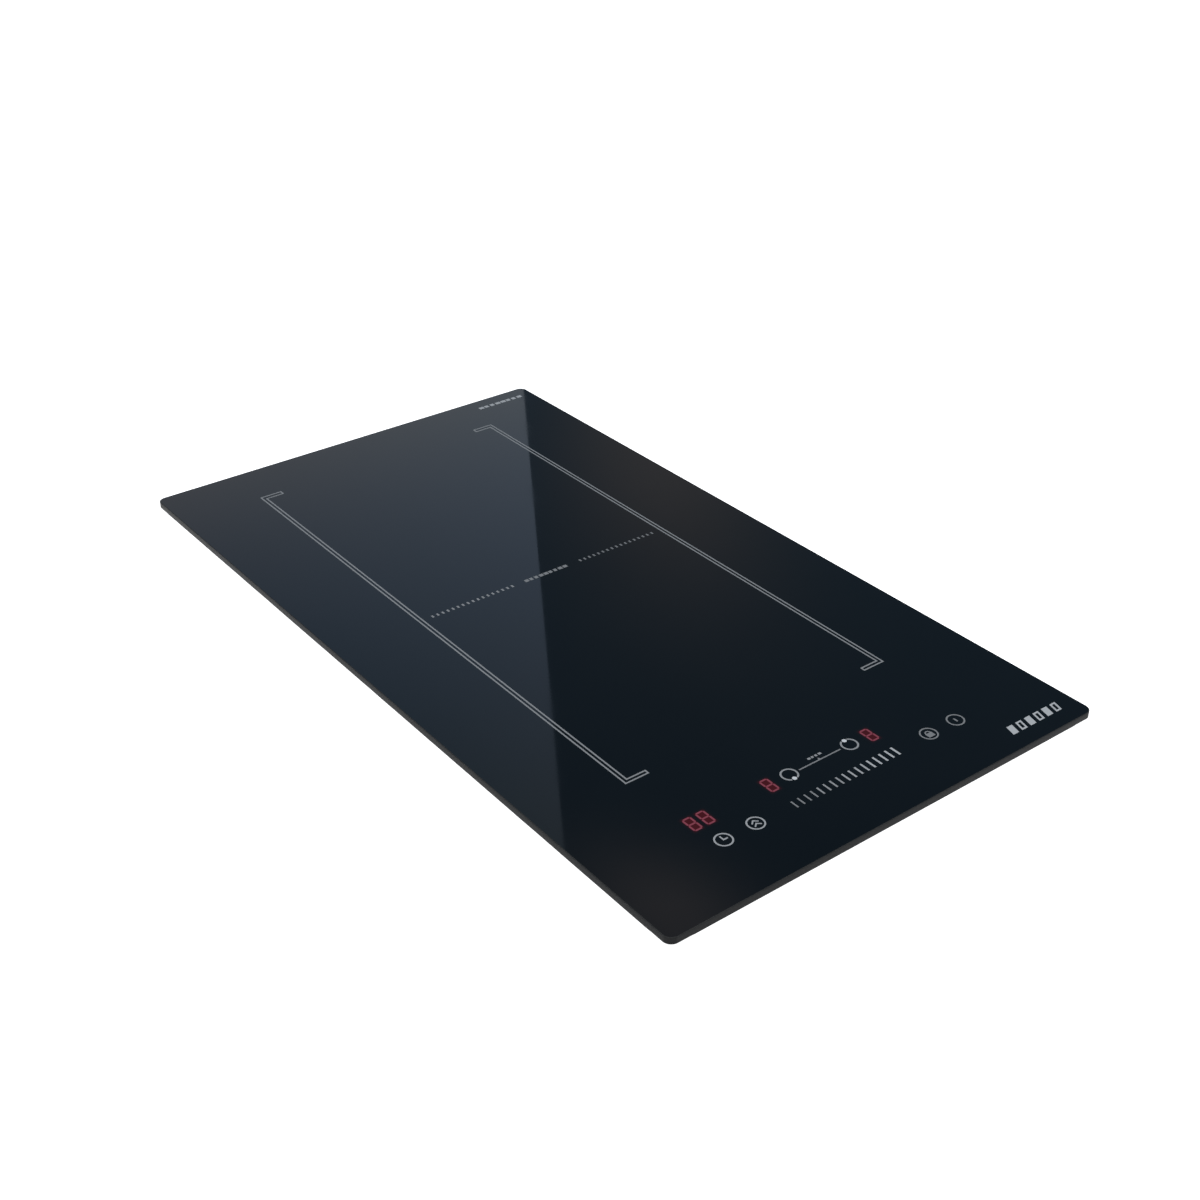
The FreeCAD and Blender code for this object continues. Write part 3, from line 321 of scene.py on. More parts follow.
def rolled_metal(name, colour, roughness, stretch=(1, 0.05, 1), scale=900):
    """Rolled, drawn or turned metal: fine lines one way, and faint stains."""
    made = Material(name, Metallic=1.0)
    lines = made.noise(scale, 4, 0.6, stretch)
    stains = made.noise(45, 4)
    dark, light = shades(colour, 0.14)
    made.set(Base_Color=made.ramp(stains, (0.3, dark), (0.7, light)))
    made.set(Roughness=made.map(lines, roughness * 0.75, roughness * 1.3, 0.3, 0.7))
    made.bump(lines, 0.00003, 0.1)
    return made


def moulded(name, colour, roughness=0.5, grain=1500, depth=0.05, spread=0.12):
    """Moulded plastic or rubber: spark-eroded grain over a faint mottle."""
    made = Material(name)
    pores = made.cells(grain)
    flow = made.noise(70, 4)
    dark, light = shades(colour, spread)
    made.set(Base_Color=made.ramp(flow, (0.3, dark), (0.7, light)))
    made.set(Roughness=made.map(made.noise(400, 3), roughness * 0.88, roughness * 1.15, 0.3, 0.7))
    made.bump(pores, depth * MM, 0.5)
    return made


def foamed(name, colour):
    """Closed-cell foam or soft silicone: a skin pitted with small cells."""
    made = Material(name, Sheen_Weight=0.15, Sheen_Roughness=0.6)
    pits = made.cells(2400, "SMOOTH_F1")
    dark, light = shades(colour, 0.3)
    made.set(Base_Color=made.ramp(pits, (0.1, dark), (0.6, light)))
    made.set(Roughness=made.map(made.noise(300, 3), 0.75, 0.95))
    made.bump(pits, 0.12 * MM, 0.7)
    return made


def laminate(name, mask, track):
    """Circuit board: solder mask over etched tracks, with the glass weave showing through."""
    made = Material(name, Coat_Weight=0.35, Coat_Roughness=0.2)
    tracks = made.cells(95, "DISTANCE_TO_EDGE", stretch=(1, 1, 0.01))
    edge = made.map(tracks, 0.0, 1.0, 0.05, 0.075)
    weave = made.maths("MULTIPLY", made.waves(260, "X"), made.waves(260, "Y"))
    mixed = made.maths("ADD", made.maths("MULTIPLY", edge, 0.85), made.maths("MULTIPLY", weave, 0.15))
    made.set(Base_Color=made.ramp(mixed, (0.0, track), (0.4, mask), (1.0, tuple(c * 1.25 for c in mask))))
    made.set(Roughness=made.map(weave, 0.34, 0.5))
    made.bump(mixed, 0.04 * MM, 0.5)
    return made


def layered_stone(name, dark, light, scale, roughness, gloss=0.5):
    """Mica, ferrite or fired ceramic: flakes and grains of a mineral."""
    made = Material(name, Specular_IOR_Level=gloss)
    flakes = made.cells(scale, output="Color")
    shade = made.node("SeparateColor", {"Color": flakes}).outputs["Green"]
    fine = made.noise(scale * 3, 4)
    mixed = made.maths("MULTIPLY", shade, fine)
    made.set(Base_Color=made.ramp(mixed, (0.05, dark), (0.6, light)))
    made.set(Roughness=made.map(shade, roughness * 0.8, roughness * 1.2))
    made.bump(fine, 0.05 * MM, 0.5)
    return made


def sleeve(name):
    """Silicone wire sleeves: two colours of wire, by the side of the housing that they run on."""
    made = Material(name, Coat_Weight=0.15)
    side = made.node("SeparateXYZ", {"Vector": made.place}).outputs["X"]
    fine = made.noise(900, 3)
    grain = made.maths("MULTIPLY", fine, 0.02)
    across = made.maths("ADD", made.map(side, 0.0, 1.0, -0.01, 0.09), grain)
    made.set(Base_Color=made.ramp(across, (0.3, (0.04, 0.04, 0.045)), (0.45, (0.5, 0.06, 0.03))))
    made.set(Roughness=made.map(fine, 0.42, 0.58))
    made.bump(fine, 0.02 * MM, 0.4)
    return made


def ribbon_film(name):
    """Flat ribbon cable: parallel cores side by side."""
    made = Material(name, Coat_Weight=0.2)
    cores = made.waves(250, "X")
    made.set(Base_Color=made.ramp(cores, (0.1, (0.2, 0.2, 0.21)), (0.6, (0.55, 0.55, 0.56))))
    made.set(Roughness=made.map(made.noise(300, 3), 0.4, 0.55))
    made.bump(cores, 0.15 * MM, 0.8)
    return made


def litz_copper(name):
    """Enamelled stranded copper: fine strands of slightly different tint."""
    made = Material(name, Metallic=1.0, Coat_Weight=0.3, Coat_Roughness=0.25)
    strands = made.noise(1500, 4, 0.6)
    tint = made.noise(180, 3)
    made.set(Base_Color=made.ramp(tint, (0.3, (0.5, 0.2, 0.09)), (0.7, (0.72, 0.33, 0.16))))
    made.set(Roughness=made.map(strands, 0.24, 0.42, 0.3, 0.7))
    made.bump(strands, 0.08 * MM, 0.6)
    return made


def studio_white(name, glow):
    """A plain pale stage surface, partly lit from behind."""
    made = Material(name, Roughness=0.9, Specular_IOR_Level=0.0)
    made.set(Base_Color=(0.8, 0.8, 0.8, 1), Emission_Color=(1, 1, 1, 1), Emission_Strength=glow)
    return made


FINISHES = {
    "black_glass": polished_glass("black_glass"),
    "seal_foam": foamed("seal_foam", (0.02, 0.02, 0.021)),
    "silicone": moulded("silicone", (0.03, 0.03, 0.031), 0.45, 700, 0.08),
    "frame_plastic": moulded("frame_plastic", (0.018, 0.018, 0.019), 0.5),
    "galvanised_steel": galvanised("galvanised_steel"),
    "spring_steel": rolled_metal("spring_steel", (0.46, 0.44, 0.42), 0.34, (1, 1, 0.05)),
    "plated_screws": rolled_metal("plated_screws", (0.72, 0.72, 0.7), 0.24, (1, 1, 1)),
    "foot_rubber": moulded("foot_rubber", (0.02, 0.02, 0.02), 0.75, 1100, 0.1),
    "aluminium_sheet": rolled_metal("aluminium_sheet", (0.78, 0.79, 0.8), 0.34),
    "sink_aluminium": rolled_metal("sink_aluminium", (0.7, 0.71, 0.72), 0.4, (1, 0.02, 1), 600),
    "brass": rolled_metal("brass", (0.72, 0.52, 0.22), 0.28),
    "board_laminate": laminate("board_laminate", (0.012, 0.11, 0.045), (0.06, 0.2, 0.08)),
    "touch_laminate": laminate("touch_laminate", (0.01, 0.03, 0.012), (0.03, 0.09, 0.04)),
    "chip_resin": moulded("chip_resin", (0.02, 0.02, 0.021), 0.55, 2600, 0.03),
    "capacitor_case": moulded("capacitor_case", (0.03, 0.04, 0.12), 0.32, 900, 0.02, 0.25),
    "choke_winding": litz_copper("choke_winding"),
    "transformer_core": layered_stone("transformer_core", (0.03, 0.028, 0.026), (0.11, 0.1, 0.09), 500, 0.6),
    "socket_nylon": moulded("socket_nylon", (0.75, 0.73, 0.66), 0.4, 1800, 0.03, 0.05),
    "blower_plastic": moulded("blower_plastic", (0.022, 0.022, 0.024), 0.42, 1700, 0.04),
    "sintered_bronze": layered_stone("sintered_bronze", (0.25, 0.15, 0.06), (0.5, 0.32, 0.14), 2200, 0.45),
    "stator_steel": rolled_metal("stator_steel", (0.4, 0.4, 0.4), 0.4, (1, 1, 8), 700),
    "shaft_steel": rolled_metal("shaft_steel", (0.66, 0.66, 0.65), 0.16),
    "wire_sleeve": sleeve("wire_sleeve"),
    "ribbon": ribbon_film("ribbon"),
    "holder_plastic": moulded("holder_plastic", (0.6, 0.6, 0.58), 0.5, 1400, 0.04, 0.05),
    "display_body": moulded("display_body", (0.09, 0.01, 0.012), 0.3, 2000, 0.02, 0.2),
    "foam_pad": foamed("foam_pad", (0.07, 0.07, 0.075)),
    "terminal_plastic": moulded("terminal_plastic", (0.02, 0.02, 0.021), 0.46, 1500, 0.05),
    "block_plastic": moulded("block_plastic", (0.55, 0.55, 0.52), 0.45, 1600, 0.04, 0.06),
    "mica": layered_stone("mica", (0.28, 0.2, 0.1), (0.62, 0.52, 0.34), 320, 0.35, 0.7),
    "ferrite": layered_stone("ferrite", (0.02, 0.02, 0.022), (0.075, 0.075, 0.08), 700, 0.45),
    "former_plastic": moulded("former_plastic", (0.5, 0.47, 0.4), 0.55, 1300, 0.05, 0.08),
    "copper_litz": litz_copper("copper_litz"),
    "sensor_ceramic": layered_stone("sensor_ceramic", (0.6, 0.58, 0.52), (0.82, 0.8, 0.76), 900, 0.5),
}


def dress_frame():
    """Gives every carried-over CAD node the finish of its material slot."""
    for part in frame["record"]["subparts"]:
        mesh = frame["nodes"][part["node"]].data
        mesh.materials.clear()
        mesh.materials.append(FINISHES[part["material_slot"]].data)


# ---- mesh helpers ---------------------------------------------------------------------------


def piece(name, vertices, faces, materials, slot=None, body="root", smooth_angle=35.0):
    """A mesh piece of the object, shaded smooth up to an angle, riding on a body."""
    mesh = bpy.data.meshes.new(name)
    mesh.from_pydata(vertices, [], faces)
    mesh.validate()
    for material in materials:
        mesh.materials.append(material.data)
    mesh.shade_smooth()
    mesh.set_sharp_from_angle(angle=math.radians(smooth_angle))
    made = bpy.data.objects.new(name, mesh)
    bpy.context.scene.collection.objects.link(made)
    if body:
        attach(made, body)
    return made


def loft(loops, closed=False):
    """Faces between loops of equal length: capped at both ends, or closed into a ring."""
    count = len(loops[0])
    vertices = [tuple(point) for loop in loops for point in loop]
    pairs = list(zip(range(len(loops)), range(1, len(loops))))
    if closed:
        pairs.append((len(loops) - 1, 0))
    faces = []
    for low, high in pairs:
        for n in range(count):
            after = (n + 1) % count
            faces.append((low * count + n, low * count + after, high * count + after, high * count + n))
    if not closed:
        faces.append(tuple(reversed(range(count))))
        faces.append(tuple(range(len(vertices) - count, len(vertices))))
    return vertices, faces


def rounded_outline(half_x, half_y, radius, z=0.0, steps=8):
    """A rectangle about the origin with round corners, anticlockwise."""
    points = []
    for quarter, (side_x, side_y) in enumerate([(1, -1), (1, 1), (-1, 1), (-1, -1)]):
        middle = Vector((side_x * (half_x - radius), side_y * (half_y - radius), z))
        for n in range(steps + 1):
            angle = math.pi / 2 * (quarter - 1 + n / steps)
            points.append(middle + radius * Vector((math.cos(angle), math.sin(angle), 0)))
    return points


def refined(points, longest):
    """A closed outline with more points wherever two neighbours are further apart than a length."""
    fine = []
    for here, after in zip(points, points[1:] + points[:1]):
        count = max(1, math.ceil((after - here).length / longest))
        fine += [here.lerp(after, n / count) for n in range(count)]
    return fine


def inset_outline(points, distance):
    """An anticlockwise outline moved inwards by a distance, with mitred corners."""
    moved = []
    for before, here, after in zip(points[-1:] + points[:-1], points, points[1:] + points[:1]):
        first, second = (here - before).normalized(), (after - here).normalized()
        inward = Vector((-first.y, first.x)) + Vector((-second.y, second.x))
        moved.append(here + inward * (2 * distance / inward.length_squared))
    return moved


class Print:
    """Thin flat shapes on the glass, in millimetres, gathered into one closed mesh."""

    def __init__(self, low=INK_LOW, high=INK_HIGH):
        self.low, self.high = low, high
        self.vertices, self.faces = [], []

    def add(self, loops, closed):
        vertices, faces = loft(loops, closed)
        start = len(self.vertices)
        self.vertices += vertices
        self.faces += [tuple(start + n for n in face) for face in faces]

    def at(self, points, z):
        return [Vector((p.x * MM, p.y * MM, z)) for p in points]

    def patch(self, points):
        """A filled outline, anticlockwise."""
        points = [Vector(p) for p in points]
        self.add([self.at(points, self.low), self.at(points, self.high)], False)

    def frame(self, points, width):
        """A line of a width along the inside of an outline."""
        points = [Vector(p) for p in points]
        inner = inset_outline(points, width)
        corners = [(inner, self.low), (points, self.low), (points, self.high), (inner, self.high)]
        self.add([self.at(outline, z) for outline, z in corners], True)

    def stroke(self, points, width):
        """An open line of a width through points, with mitred corners."""
        points = [Vector(p) for p in points]
        turns = [(after - here).normalized() for here, after in zip(points, points[1:])]
        offsets = []
        for before, after in zip(turns[:1] + turns, turns + turns[-1:]):
            across = Vector((-before.y - after.y, before.x + after.x))
            offsets.append(across * (width / across.length_squared))
        right = [here - offset for here, offset in zip(points, offsets)]
        left = [here + offset for here, offset in zip(points, offsets)]
        self.patch(right + left[::-1])

    def bar(self, start, end, width):
        self.stroke([start, end], width)

    def arc(self, centre, radius, width, start=0, end=360):
        """A round line of an outer radius, whole or from one angle to another."""
        steps = max(6, round((end - start) / 7.5))
        turns = [math.radians(start + (end - start) * n / steps) for n in range(steps + 1)]
        spokes = [Vector((math.cos(turn), math.sin(turn))) for turn in turns]
        middle = Vector(centre)
        outer = [middle + spoke * radius for spoke in spokes]
        inner = [middle + spoke * (radius - width) for spoke in spokes]
        if end - start < 360:
            self.patch(outer + inner[::-1])
        else:
            self.frame(outer[:-1], width)

    def disc(self, centre, radius):
        turns = [math.tau * n / 24 for n in range(24)]
        self.patch([Vector(centre) + Vector((math.cos(a), math.sin(a))) * radius for a in turns])

    def make(self, name, material, slot=None):
        return piece(name, self.vertices, self.faces, [material], slot)


# ---- glass plate ----------------------------------------------------------------------------


def glass_plate():
    """The glass-ceramic plate: polished faces, a ground bevel and rounded arrises."""
    top, low = GLASS_TOP, GLASS_LOW.z
    bevel = GLASS_BEVEL
    soft = ARRIS * math.tan(math.radians(22.5))
    steps = [
        (0.12 * MM, low),
        (0.03 * MM, low + 0.03 * MM),
        (0.0, low + 0.12 * MM),
        (0.0, top - bevel - soft),
        (soft * 0.4, top - bevel + soft * 0.6),
        (bevel - soft * 1.2, top - soft * 0.9),
        (bevel + soft * 0.2, top - soft * 0.15),
        (bevel + soft * 1.5, top),
    ]
    loops = []
    for inset, z in steps:
        loops.append(rounded_outline(HALF_W - inset, HALF_D - inset, GLASS_CORNER - inset, z, 12))
    vertices, faces = loft(loops)
    materials = [FINISHES["black_glass"], ground_glass("glass_bevel", 0.02, 0.5, 0.3)]
    materials.append(ground_glass("glass_side", 0.021, 0.35, 0.045))
    made = piece("glass_plate", vertices, faces, materials, "black_glass")
    for face in made.data.polygons:
        polished = abs(face.normal.z) > 0.999
        face.use_smooth = not polished
        face.material_index = 0 if polished else 1 if face.normal.z > 0.3 else 2
    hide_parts("glass_panel")
    return made


def foam_seal():
    """The self-adhesive foam seal under the glass's rim: a flattened bulging strip, closed all round."""
    low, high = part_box("worktop_seal")
    rim_x, rim_y = HALF_W - SEAL_SETBACK, HALF_D - SEAL_SETBACK
    width, height = SEAL_WIDTH, high.z - low.z
    section = []
    for n in range(16):
        angle = math.tau * n / 16
        across = math.copysign(abs(math.cos(angle)) ** 0.2, math.cos(angle))
        up = math.copysign(abs(math.sin(angle)) ** 0.6, math.sin(angle))
        section.append((across * width / 2, up * height / 2))
    path = rounded_outline(rim_x - width / 2, rim_y - width / 2, SEAL_CORNER, (low.z + high.z) / 2, 10)
    path = refined(path, SEAL_STEP)
    loops = []
    for before, here, after in zip(path[-1:] + path[:-1], path, path[1:] + path[:1]):
        along = (after - before).normalized()
        outward = Vector((along.y, -along.x, 0))
        width_here = 1 - 0.02 * abs(noise.noise(here * 90))
        loops.append([here + outward * across * width_here + Vector((0, 0, up)) for across, up in section])
    made = piece("foam_seal", *loft(loops, True), [FINISHES["seal_foam"]], "seal_foam")
    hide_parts("worktop_seal")
    return made


# ---- printed marks --------------------------------------------------------------------------


def zone_brackets(ink):
    """Two tall brackets beside the cooking zones, each a closed double line."""
    tip, inner, outer = BRACKET_X
    front, back = BRACKET_Y
    front_in, back_in = front + BRACKET_ARM[0], back - BRACKET_ARM[1]
    right = [(tip, front), (outer, front), (outer, back), (tip, back)]
    right += [(tip, back_in), (inner, back_in), (inner, front_in), (tip, front_in)]
    left = [(-x, y) for x, y in reversed(right)]
    for side, outline in (("left", left), ("right", right)):
        mark = Print()
        mark.frame(outline, BRACKET_LINE)
        mark.make(f"zone_bracket_{side}", ink)


def divider(left_ink, right_ink, faint):
    """The line between the zones: two rows of short marks, and a row of dashes in the middle."""
    near, far = DIVIDER_X
    for side, sign, ink in (("left", -1, left_ink), ("right", 1, right_ink)):
        marks = Print()
        for n in range(DIVIDER_MARKS):
            x = sign * (near + (far - near) * n / (DIVIDER_MARKS - 1))
            marks.bar((x, DIVIDER_Y - 1.2), (x, DIVIDER_Y + 1.2), 1.25)
        marks.make(f"divider_{side}", ink)
    dashes(-15.9, 15.5, DIVIDER_Y, 2.6, 9, 0.75).make("divider_middle", faint)


def dashes(left, right, y, height, count, fill):
    """A row of plain blocks of uneven length."""
    row = Print()
    pitch = (right - left) / count
    for n in range(count):
        start = left + n * pitch
        length = pitch * fill * (0.8 + 0.35 * math.sin(2.4 * n + 1) ** 2)
        row.bar((start, y), (start + length, y), height)
    return row


def seven_segments(mark, x, y):
    """One lit figure eight of seven bars with pointed ends."""
    half_w, half_h = DIGIT_SIZE[0] / 2, DIGIT_SIZE[1] / 2
    reach, rise = half_w - DIGIT_STROKE / 2, half_h - DIGIT_STROKE / 2
    upright = [((side * reach, end * rise), (side * reach, 0)) for side in (-1, 1) for end in (-1, 1)]
    level = [((-reach, height), (reach, height)) for height in (-rise, 0, rise)]
    for start, end in upright + level:
        start, end = Vector((x, y)) + Vector(start), Vector((x, y)) + Vector(end)
        along = (end - start).normalized()
        side = Vector((-along.y, along.x)) * (DIGIT_STROKE / 2)
        start, end = start + along * DIGIT_GAP, end - along * DIGIT_GAP
        point = along * (DIGIT_STROKE / 2)
        right = [start, start + point - side, end - point - side]
        mark.patch([*right, end, end - point + side, start + point + side])


def glow_behind(name, places, material, margin=2.6, cell=0.25, reach=0.5):
    """The red light in the glass round lit figures: even inside their boxes, and fading fast outside."""
    half = Vector(DIGIT_SIZE) / 2
    edge = half + Vector((margin, margin))
    low, high = Vector((min(places), DIGIT_Y)) - edge, Vector((max(places), DIGIT_Y)) + edge
    columns, rows = (round(size / cell) for size in high - low)
    vertices, levels = [], []
    for row in range(rows + 1):
        for column in range(columns + 1):
            here = low + Vector((column / columns * (high.x - low.x), row / rows * (high.y - low.y)))
            away = min(distance_to_box(here, Vector((x, DIGIT_Y)), half - Vector((0.4, 0.4))) for x in places)
            border = min(here.x - low.x, high.x - here.x, here.y - low.y, high.y - here.y)
            levels.append(math.exp(-away / reach) * min(1, border / 1.5))
            vertices.append((here.x * MM, here.y * MM, GLOW_HIGH))
    count = len(vertices)
    vertices += [(x, y, INK_LOW) for x, y, z in vertices]
    faces = grid_faces(columns, rows, 0) + [face[::-1] for face in grid_faces(columns, rows, count)]
    rim = [n for n in range(columns)]
    rim += [columns + n * (columns + 1) for n in range(rows)]
    rim += [count - 1 - n for n in range(columns)]
    rim += [(rows - n) * (columns + 1) for n in range(rows)]
    for here, after in zip(rim, rim[1:] + rim[:1]):
        faces.append((after, here, here + count, after + count))
    made = piece(name, vertices, faces, [material], "black_glass")
    glow = made.data.attributes.new("glow", "FLOAT", "POINT")
    glow.data.foreach_set("value", levels + levels)
    return made


def grid_faces(columns, rows, start):
    faces = []
    for row in range(rows):
        for column in range(columns):
            corner = start + row * (columns + 1) + column
            faces.append((corner, corner + 1, corner + columns + 2, corner + columns + 1))
    return faces


def distance_to_box(point, centre, half):
    """How far a point lies outside an upright rectangle, none if inside."""
    beyond = [max(0.0, abs(offset) - size) for offset, size in zip(point - centre, half)]
    return math.hypot(*beyond)


def digits():
    """Lit figures of the timer and of the two zones, and the glow in the glass round them."""
    lit = lit_segment("lit_segment", (0.225, 0.054, 0.08), 0.9)
    haze = glowing_glass("display_haze", (0.048, 0.0, 0.001), 1.0)
    for name, places in (("timer", TIMER_X), ("zone_left", ZONE_DIGIT_X[:1]), ("zone_right", ZONE_DIGIT_X[1:])):
        mark = Print(GLASS_TOP, INK_HIGH)
        for x in places:
            seven_segments(mark, x, DIGIT_Y)
        mark.make(f"{name}_digits", lit, "display_body")
        glow_behind(f"{name}_glow", places, haze)


def key_icons(bright, dim):
    """The touch keys' icons: clock, quick heat, lock and standby."""
    clock = Print()
    clock.arc((CLOCK_X, KEY_Y), 4.95, 0.9)
    clock.stroke([(CLOCK_X, KEY_Y + 3.0), (CLOCK_X, KEY_Y), (CLOCK_X + 2.6, KEY_Y)], 0.9)
    clock.make("clock_icon", bright)

    boost = Print()
    boost.arc((BOOST_X, KEY_Y), 4.95, 0.9)
    for lift in (-1.9, 0.5):
        foot = KEY_Y + lift - 0.2
        boost.stroke([(BOOST_X - 2.1, foot), (BOOST_X, foot + 1.8), (BOOST_X + 2.1, foot)], 0.8)
    boost.make("boost_icon", bright)

    lock = Print()
    lock.arc((LOCK_X, KEY_Y), 5.1, 0.85)
    lock.patch([(LOCK_X + x, KEY_Y + y) for x, y in ((-2.2, -2.8), (2.2, -2.8), (2.2, 0.5), (-2.2, 0.5))])
    lock.arc((LOCK_X, KEY_Y + 0.5), 1.9, 0.75, 0, 180)
    lock.make("lock_icon", dim)

    power = Print()
    power.arc((POWER_X, KEY_Y), 5.05, 0.9)
    power.bar((POWER_X, KEY_Y - 1.5), (POWER_X, KEY_Y + 1.5), 0.95)
    power.make("power_icon", dim)


def zone_keys(ring, white, ink, dim):
    """The two zone keys, a ring open at a dot that stands for the zone, and the link between them."""
    for side, sign in (("left", -1), ("right", 1)):
        x = sign * ZONE_KEY_X
        key, dot = Print(), Print()
        key.arc((x, ZONE_KEY_Y), 4.9, 1.0, sign * 90 + 24, sign * 90 + 336)
        dot.disc((x, ZONE_KEY_Y + sign * 3.8), 1.3)
        key.make(f"zone_key_{side}", ring)
        dot.make(f"zone_dot_{side}", white)
    link = Print()
    low, high, peak = ZONE_KEY_Y - 0.6, ZONE_KEY_Y + 0.2, ZONE_KEY_Y + 1.7
    link.patch([(-14.4, low), (14.2, low), (14.2, high), (0.9, high), (0, peak), (-0.9, high), (-14.4, high)])
    link.make("link_line", dim)
    dashes(-5.0, 4.7, ZONE_KEY_Y + 3.6, 1.5, 4, 0.72).make("link_mark", ink)


def slider():
    """The power scale: ticks that grow longer, wider and brighter towards the right."""
    left, right = SLIDER_X
    for group in range(SLIDER_GROUPS):
        ink = ceramic_ink(f"slider_ink_{group}", 0.23 + 0.08 * group)
        ticks = Print()
        for n in range(SLIDER_TICKS):
            share = n / (SLIDER_TICKS - 1)
            if min(int(share * SLIDER_GROUPS), SLIDER_GROUPS - 1) != group:
                continue
            x = left + (right - left) * share
            height = 5.4 + 1.6 * share
            ticks.bar((x, SLIDER_FOOT), (x, SLIDER_FOOT + height), 0.92 + 0.36 * share)
        ticks.make(f"slider_ticks_{group}", ink)


def corner_marks(bright, rear):
    """Plain blocks where a maker would print its name: front right, and small ones at the rear."""
    strip = Print()
    left, right, foot, height = 93.4, 133.8, -249.5, 6.6
    count = 6
    pitch = (right - left) / count
    for n in range(count):
        x = left + n * pitch
        top = foot + height
        outline = [(x, foot), (x + pitch * 0.62, foot), (x + pitch * 0.9, top), (x + pitch * 0.28, top)]
        if n % 2:
            strip.frame(outline, 1.1)
        else:
            strip.patch(outline)
    strip.make("corner_strip", bright)
    dashes(98.3, 135.5, 248.0, 3.0, 8, 0.78).make("rear_strip", rear)


def printed_marks():
    """Every printed mark on the glass, each in its own shade of ink."""
    ink = {name: ceramic_ink(f"ink_{name}", level) for name, level in INK_LEVELS.items()}
    zone_brackets(ink["line"])
    divider(ink["line"], ink["faint"], ink["dim"])
    key_icons(ink["bright"], ink["dim"])
    zone_keys(ink["ring"], ink["white"], ink["ring"], ink["dim"])
    slider()
    corner_marks(ink["strip"], ink["rear"])


# ---- inside the housing ---------------------------------------------------------------------


def coil_winding(where):
    """A flat spiral of stranded copper: twisted bundles wound from the rim inwards."""
    node = f"{where}_coil_winding"
    low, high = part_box(node)
    middle = (low + high) / 2
    half_x, half_y = (high.x - low.x) / 2, (high.y - low.y) / 2
    half_pitch = (half_x - COIL_EYE) / COIL_TURNS / 2
    half_height = (high.z - low.z) / 2
    steps = COIL_TURNS * COIL_STEPS
    length = 0.0
    loops, last = [], None
    for n in range(steps + 1):
        share = n / steps
        inset = half_pitch + share * (half_x - COIL_EYE - 2 * half_pitch)
        radius = COIL_CORNER + (COIL_EYE_CORNER - COIL_CORNER) * share
        size = (half_x - inset, half_y - inset, radius)
        here = point_on_outline(*size, (n % COIL_STEPS) / COIL_STEPS)
        if last is not None:
            length += (here - last).length
        outward = outline_normal(here, *size)
        last = here
        twist = length / COIL_LAY * math.tau
        loop = []
        for k in range(COIL_SIDES):
            angle = math.tau * k / COIL_SIDES
            lobe = 1 - 0.1 * (0.5 + 0.5 * math.cos(COIL_STRANDS * angle + twist))
            across, up = math.cos(angle) * half_pitch * 0.97, math.sin(angle) * half_height
            loop.append(middle + here + outward * across * lobe + Vector((0, 0, up * lobe)))
        loops.append(loop)
    copper = FINISHES["copper_litz"]
    made = piece(f"{where}_litz_spiral", *loft(loops), [copper], "copper_litz", f"{where}_coil", 70)
    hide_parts(node)


def point_on_outline(half_x, half_y, radius, share):
    """A point on a round-cornered rectangle, a share of the way round from the middle of its right."""
    straight_x, straight_y = half_x - radius, half_y - radius
    quarter = math.pi / 2 * radius
    distance = share * (4 * (straight_x + straight_y) + 4 * quarter)
    runs = [(straight_y, 0, None), (quarter, 0, (1, 1)), (2 * straight_x, 1, None), (quarter, 1, (-1, 1))]
    runs += [(2 * straight_y, 2, None), (quarter, 2, (-1, -1)), (2 * straight_x, 3, None), (quarter, 3, (1, -1))]
    runs.append((straight_y, 4, None))
    starts = [(half_x, 0), None, (straight_x, half_y), None, (-half_x, straight_y), None, (-straight_x, -half_y)]
    starts += [None, (half_x, -straight_y)]
    headings = [(0, 1), (-1, 0), (0, -1), (1, 0), (0, 1)]
    for (run, side, centre), start in zip(runs, starts):
        if distance <= run or (run, side, centre) == runs[-1]:
            break
        distance -= run
    if centre is None:
        heading = headings[side]
        return Vector((start[0] + heading[0] * distance, start[1] + heading[1] * distance, 0))
    angle = math.pi / 2 * side + distance / radius
    across = centre[0] * straight_x + radius * math.cos(angle)
    return Vector((across, centre[1] * straight_y + radius * math.sin(angle), 0))


def outline_normal(point, half_x, half_y, radius):
    """The outward direction at a point on a round-cornered rectangle."""
    near = Vector((max(-half_x + radius, min(half_x - radius, point.x)),
                   max(-half_y + radius, min(half_y - radius, point.y)), 0))
    return (point - near).normalized()


def copied(node, name, body):
    """A piece with the shape of the CAD node that it stands for."""
    made = bpy.data.objects.new(name, frame["nodes"][node].data.copy())
    bpy.context.scene.collection.objects.link(made)
    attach(made, body)
    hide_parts(node)
    return made


def softened(node, name, edge):
    """A soft CAD solid made again with rounded edges."""
    made = copied(node, name, "root")
    round_off = made.modifiers.new("round_off", "BEVEL")
    round_off.width = edge
    round_off.segments = 3
    round_off.limit_method = "ANGLE"
    return made


def coil_springs():
    """The coil springs, each a copy of its CAD node, riding on its joint's parent body."""
    for joint in frame["record"]["behaviour"]["joints"]:
        for spring in joint.get("deforming_nodes", []):
            node, foot = spring["node"], spring["fixed_end_z_m"]
            made = copied(node, f"{node}_wire", joint["parent"])
            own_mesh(made)


# ---- stage ----------------------------------------------------------------------------------


def stage_mesh(name, vertices, faces, materials):
    made = piece(name, vertices, faces, materials, body=None)
    return made


def floor():
    """A plain pale floor under the feet."""
    size, z = FLOOR_REACH, cad_low.z
    corners = [(-size, -size, z), (size, -size, z), (size, size, z), (-size, size, z)]
    stage_mesh("floor", corners, [(0, 1, 2, 3)], [studio_white("floor_white", STAGE_GLOW)])


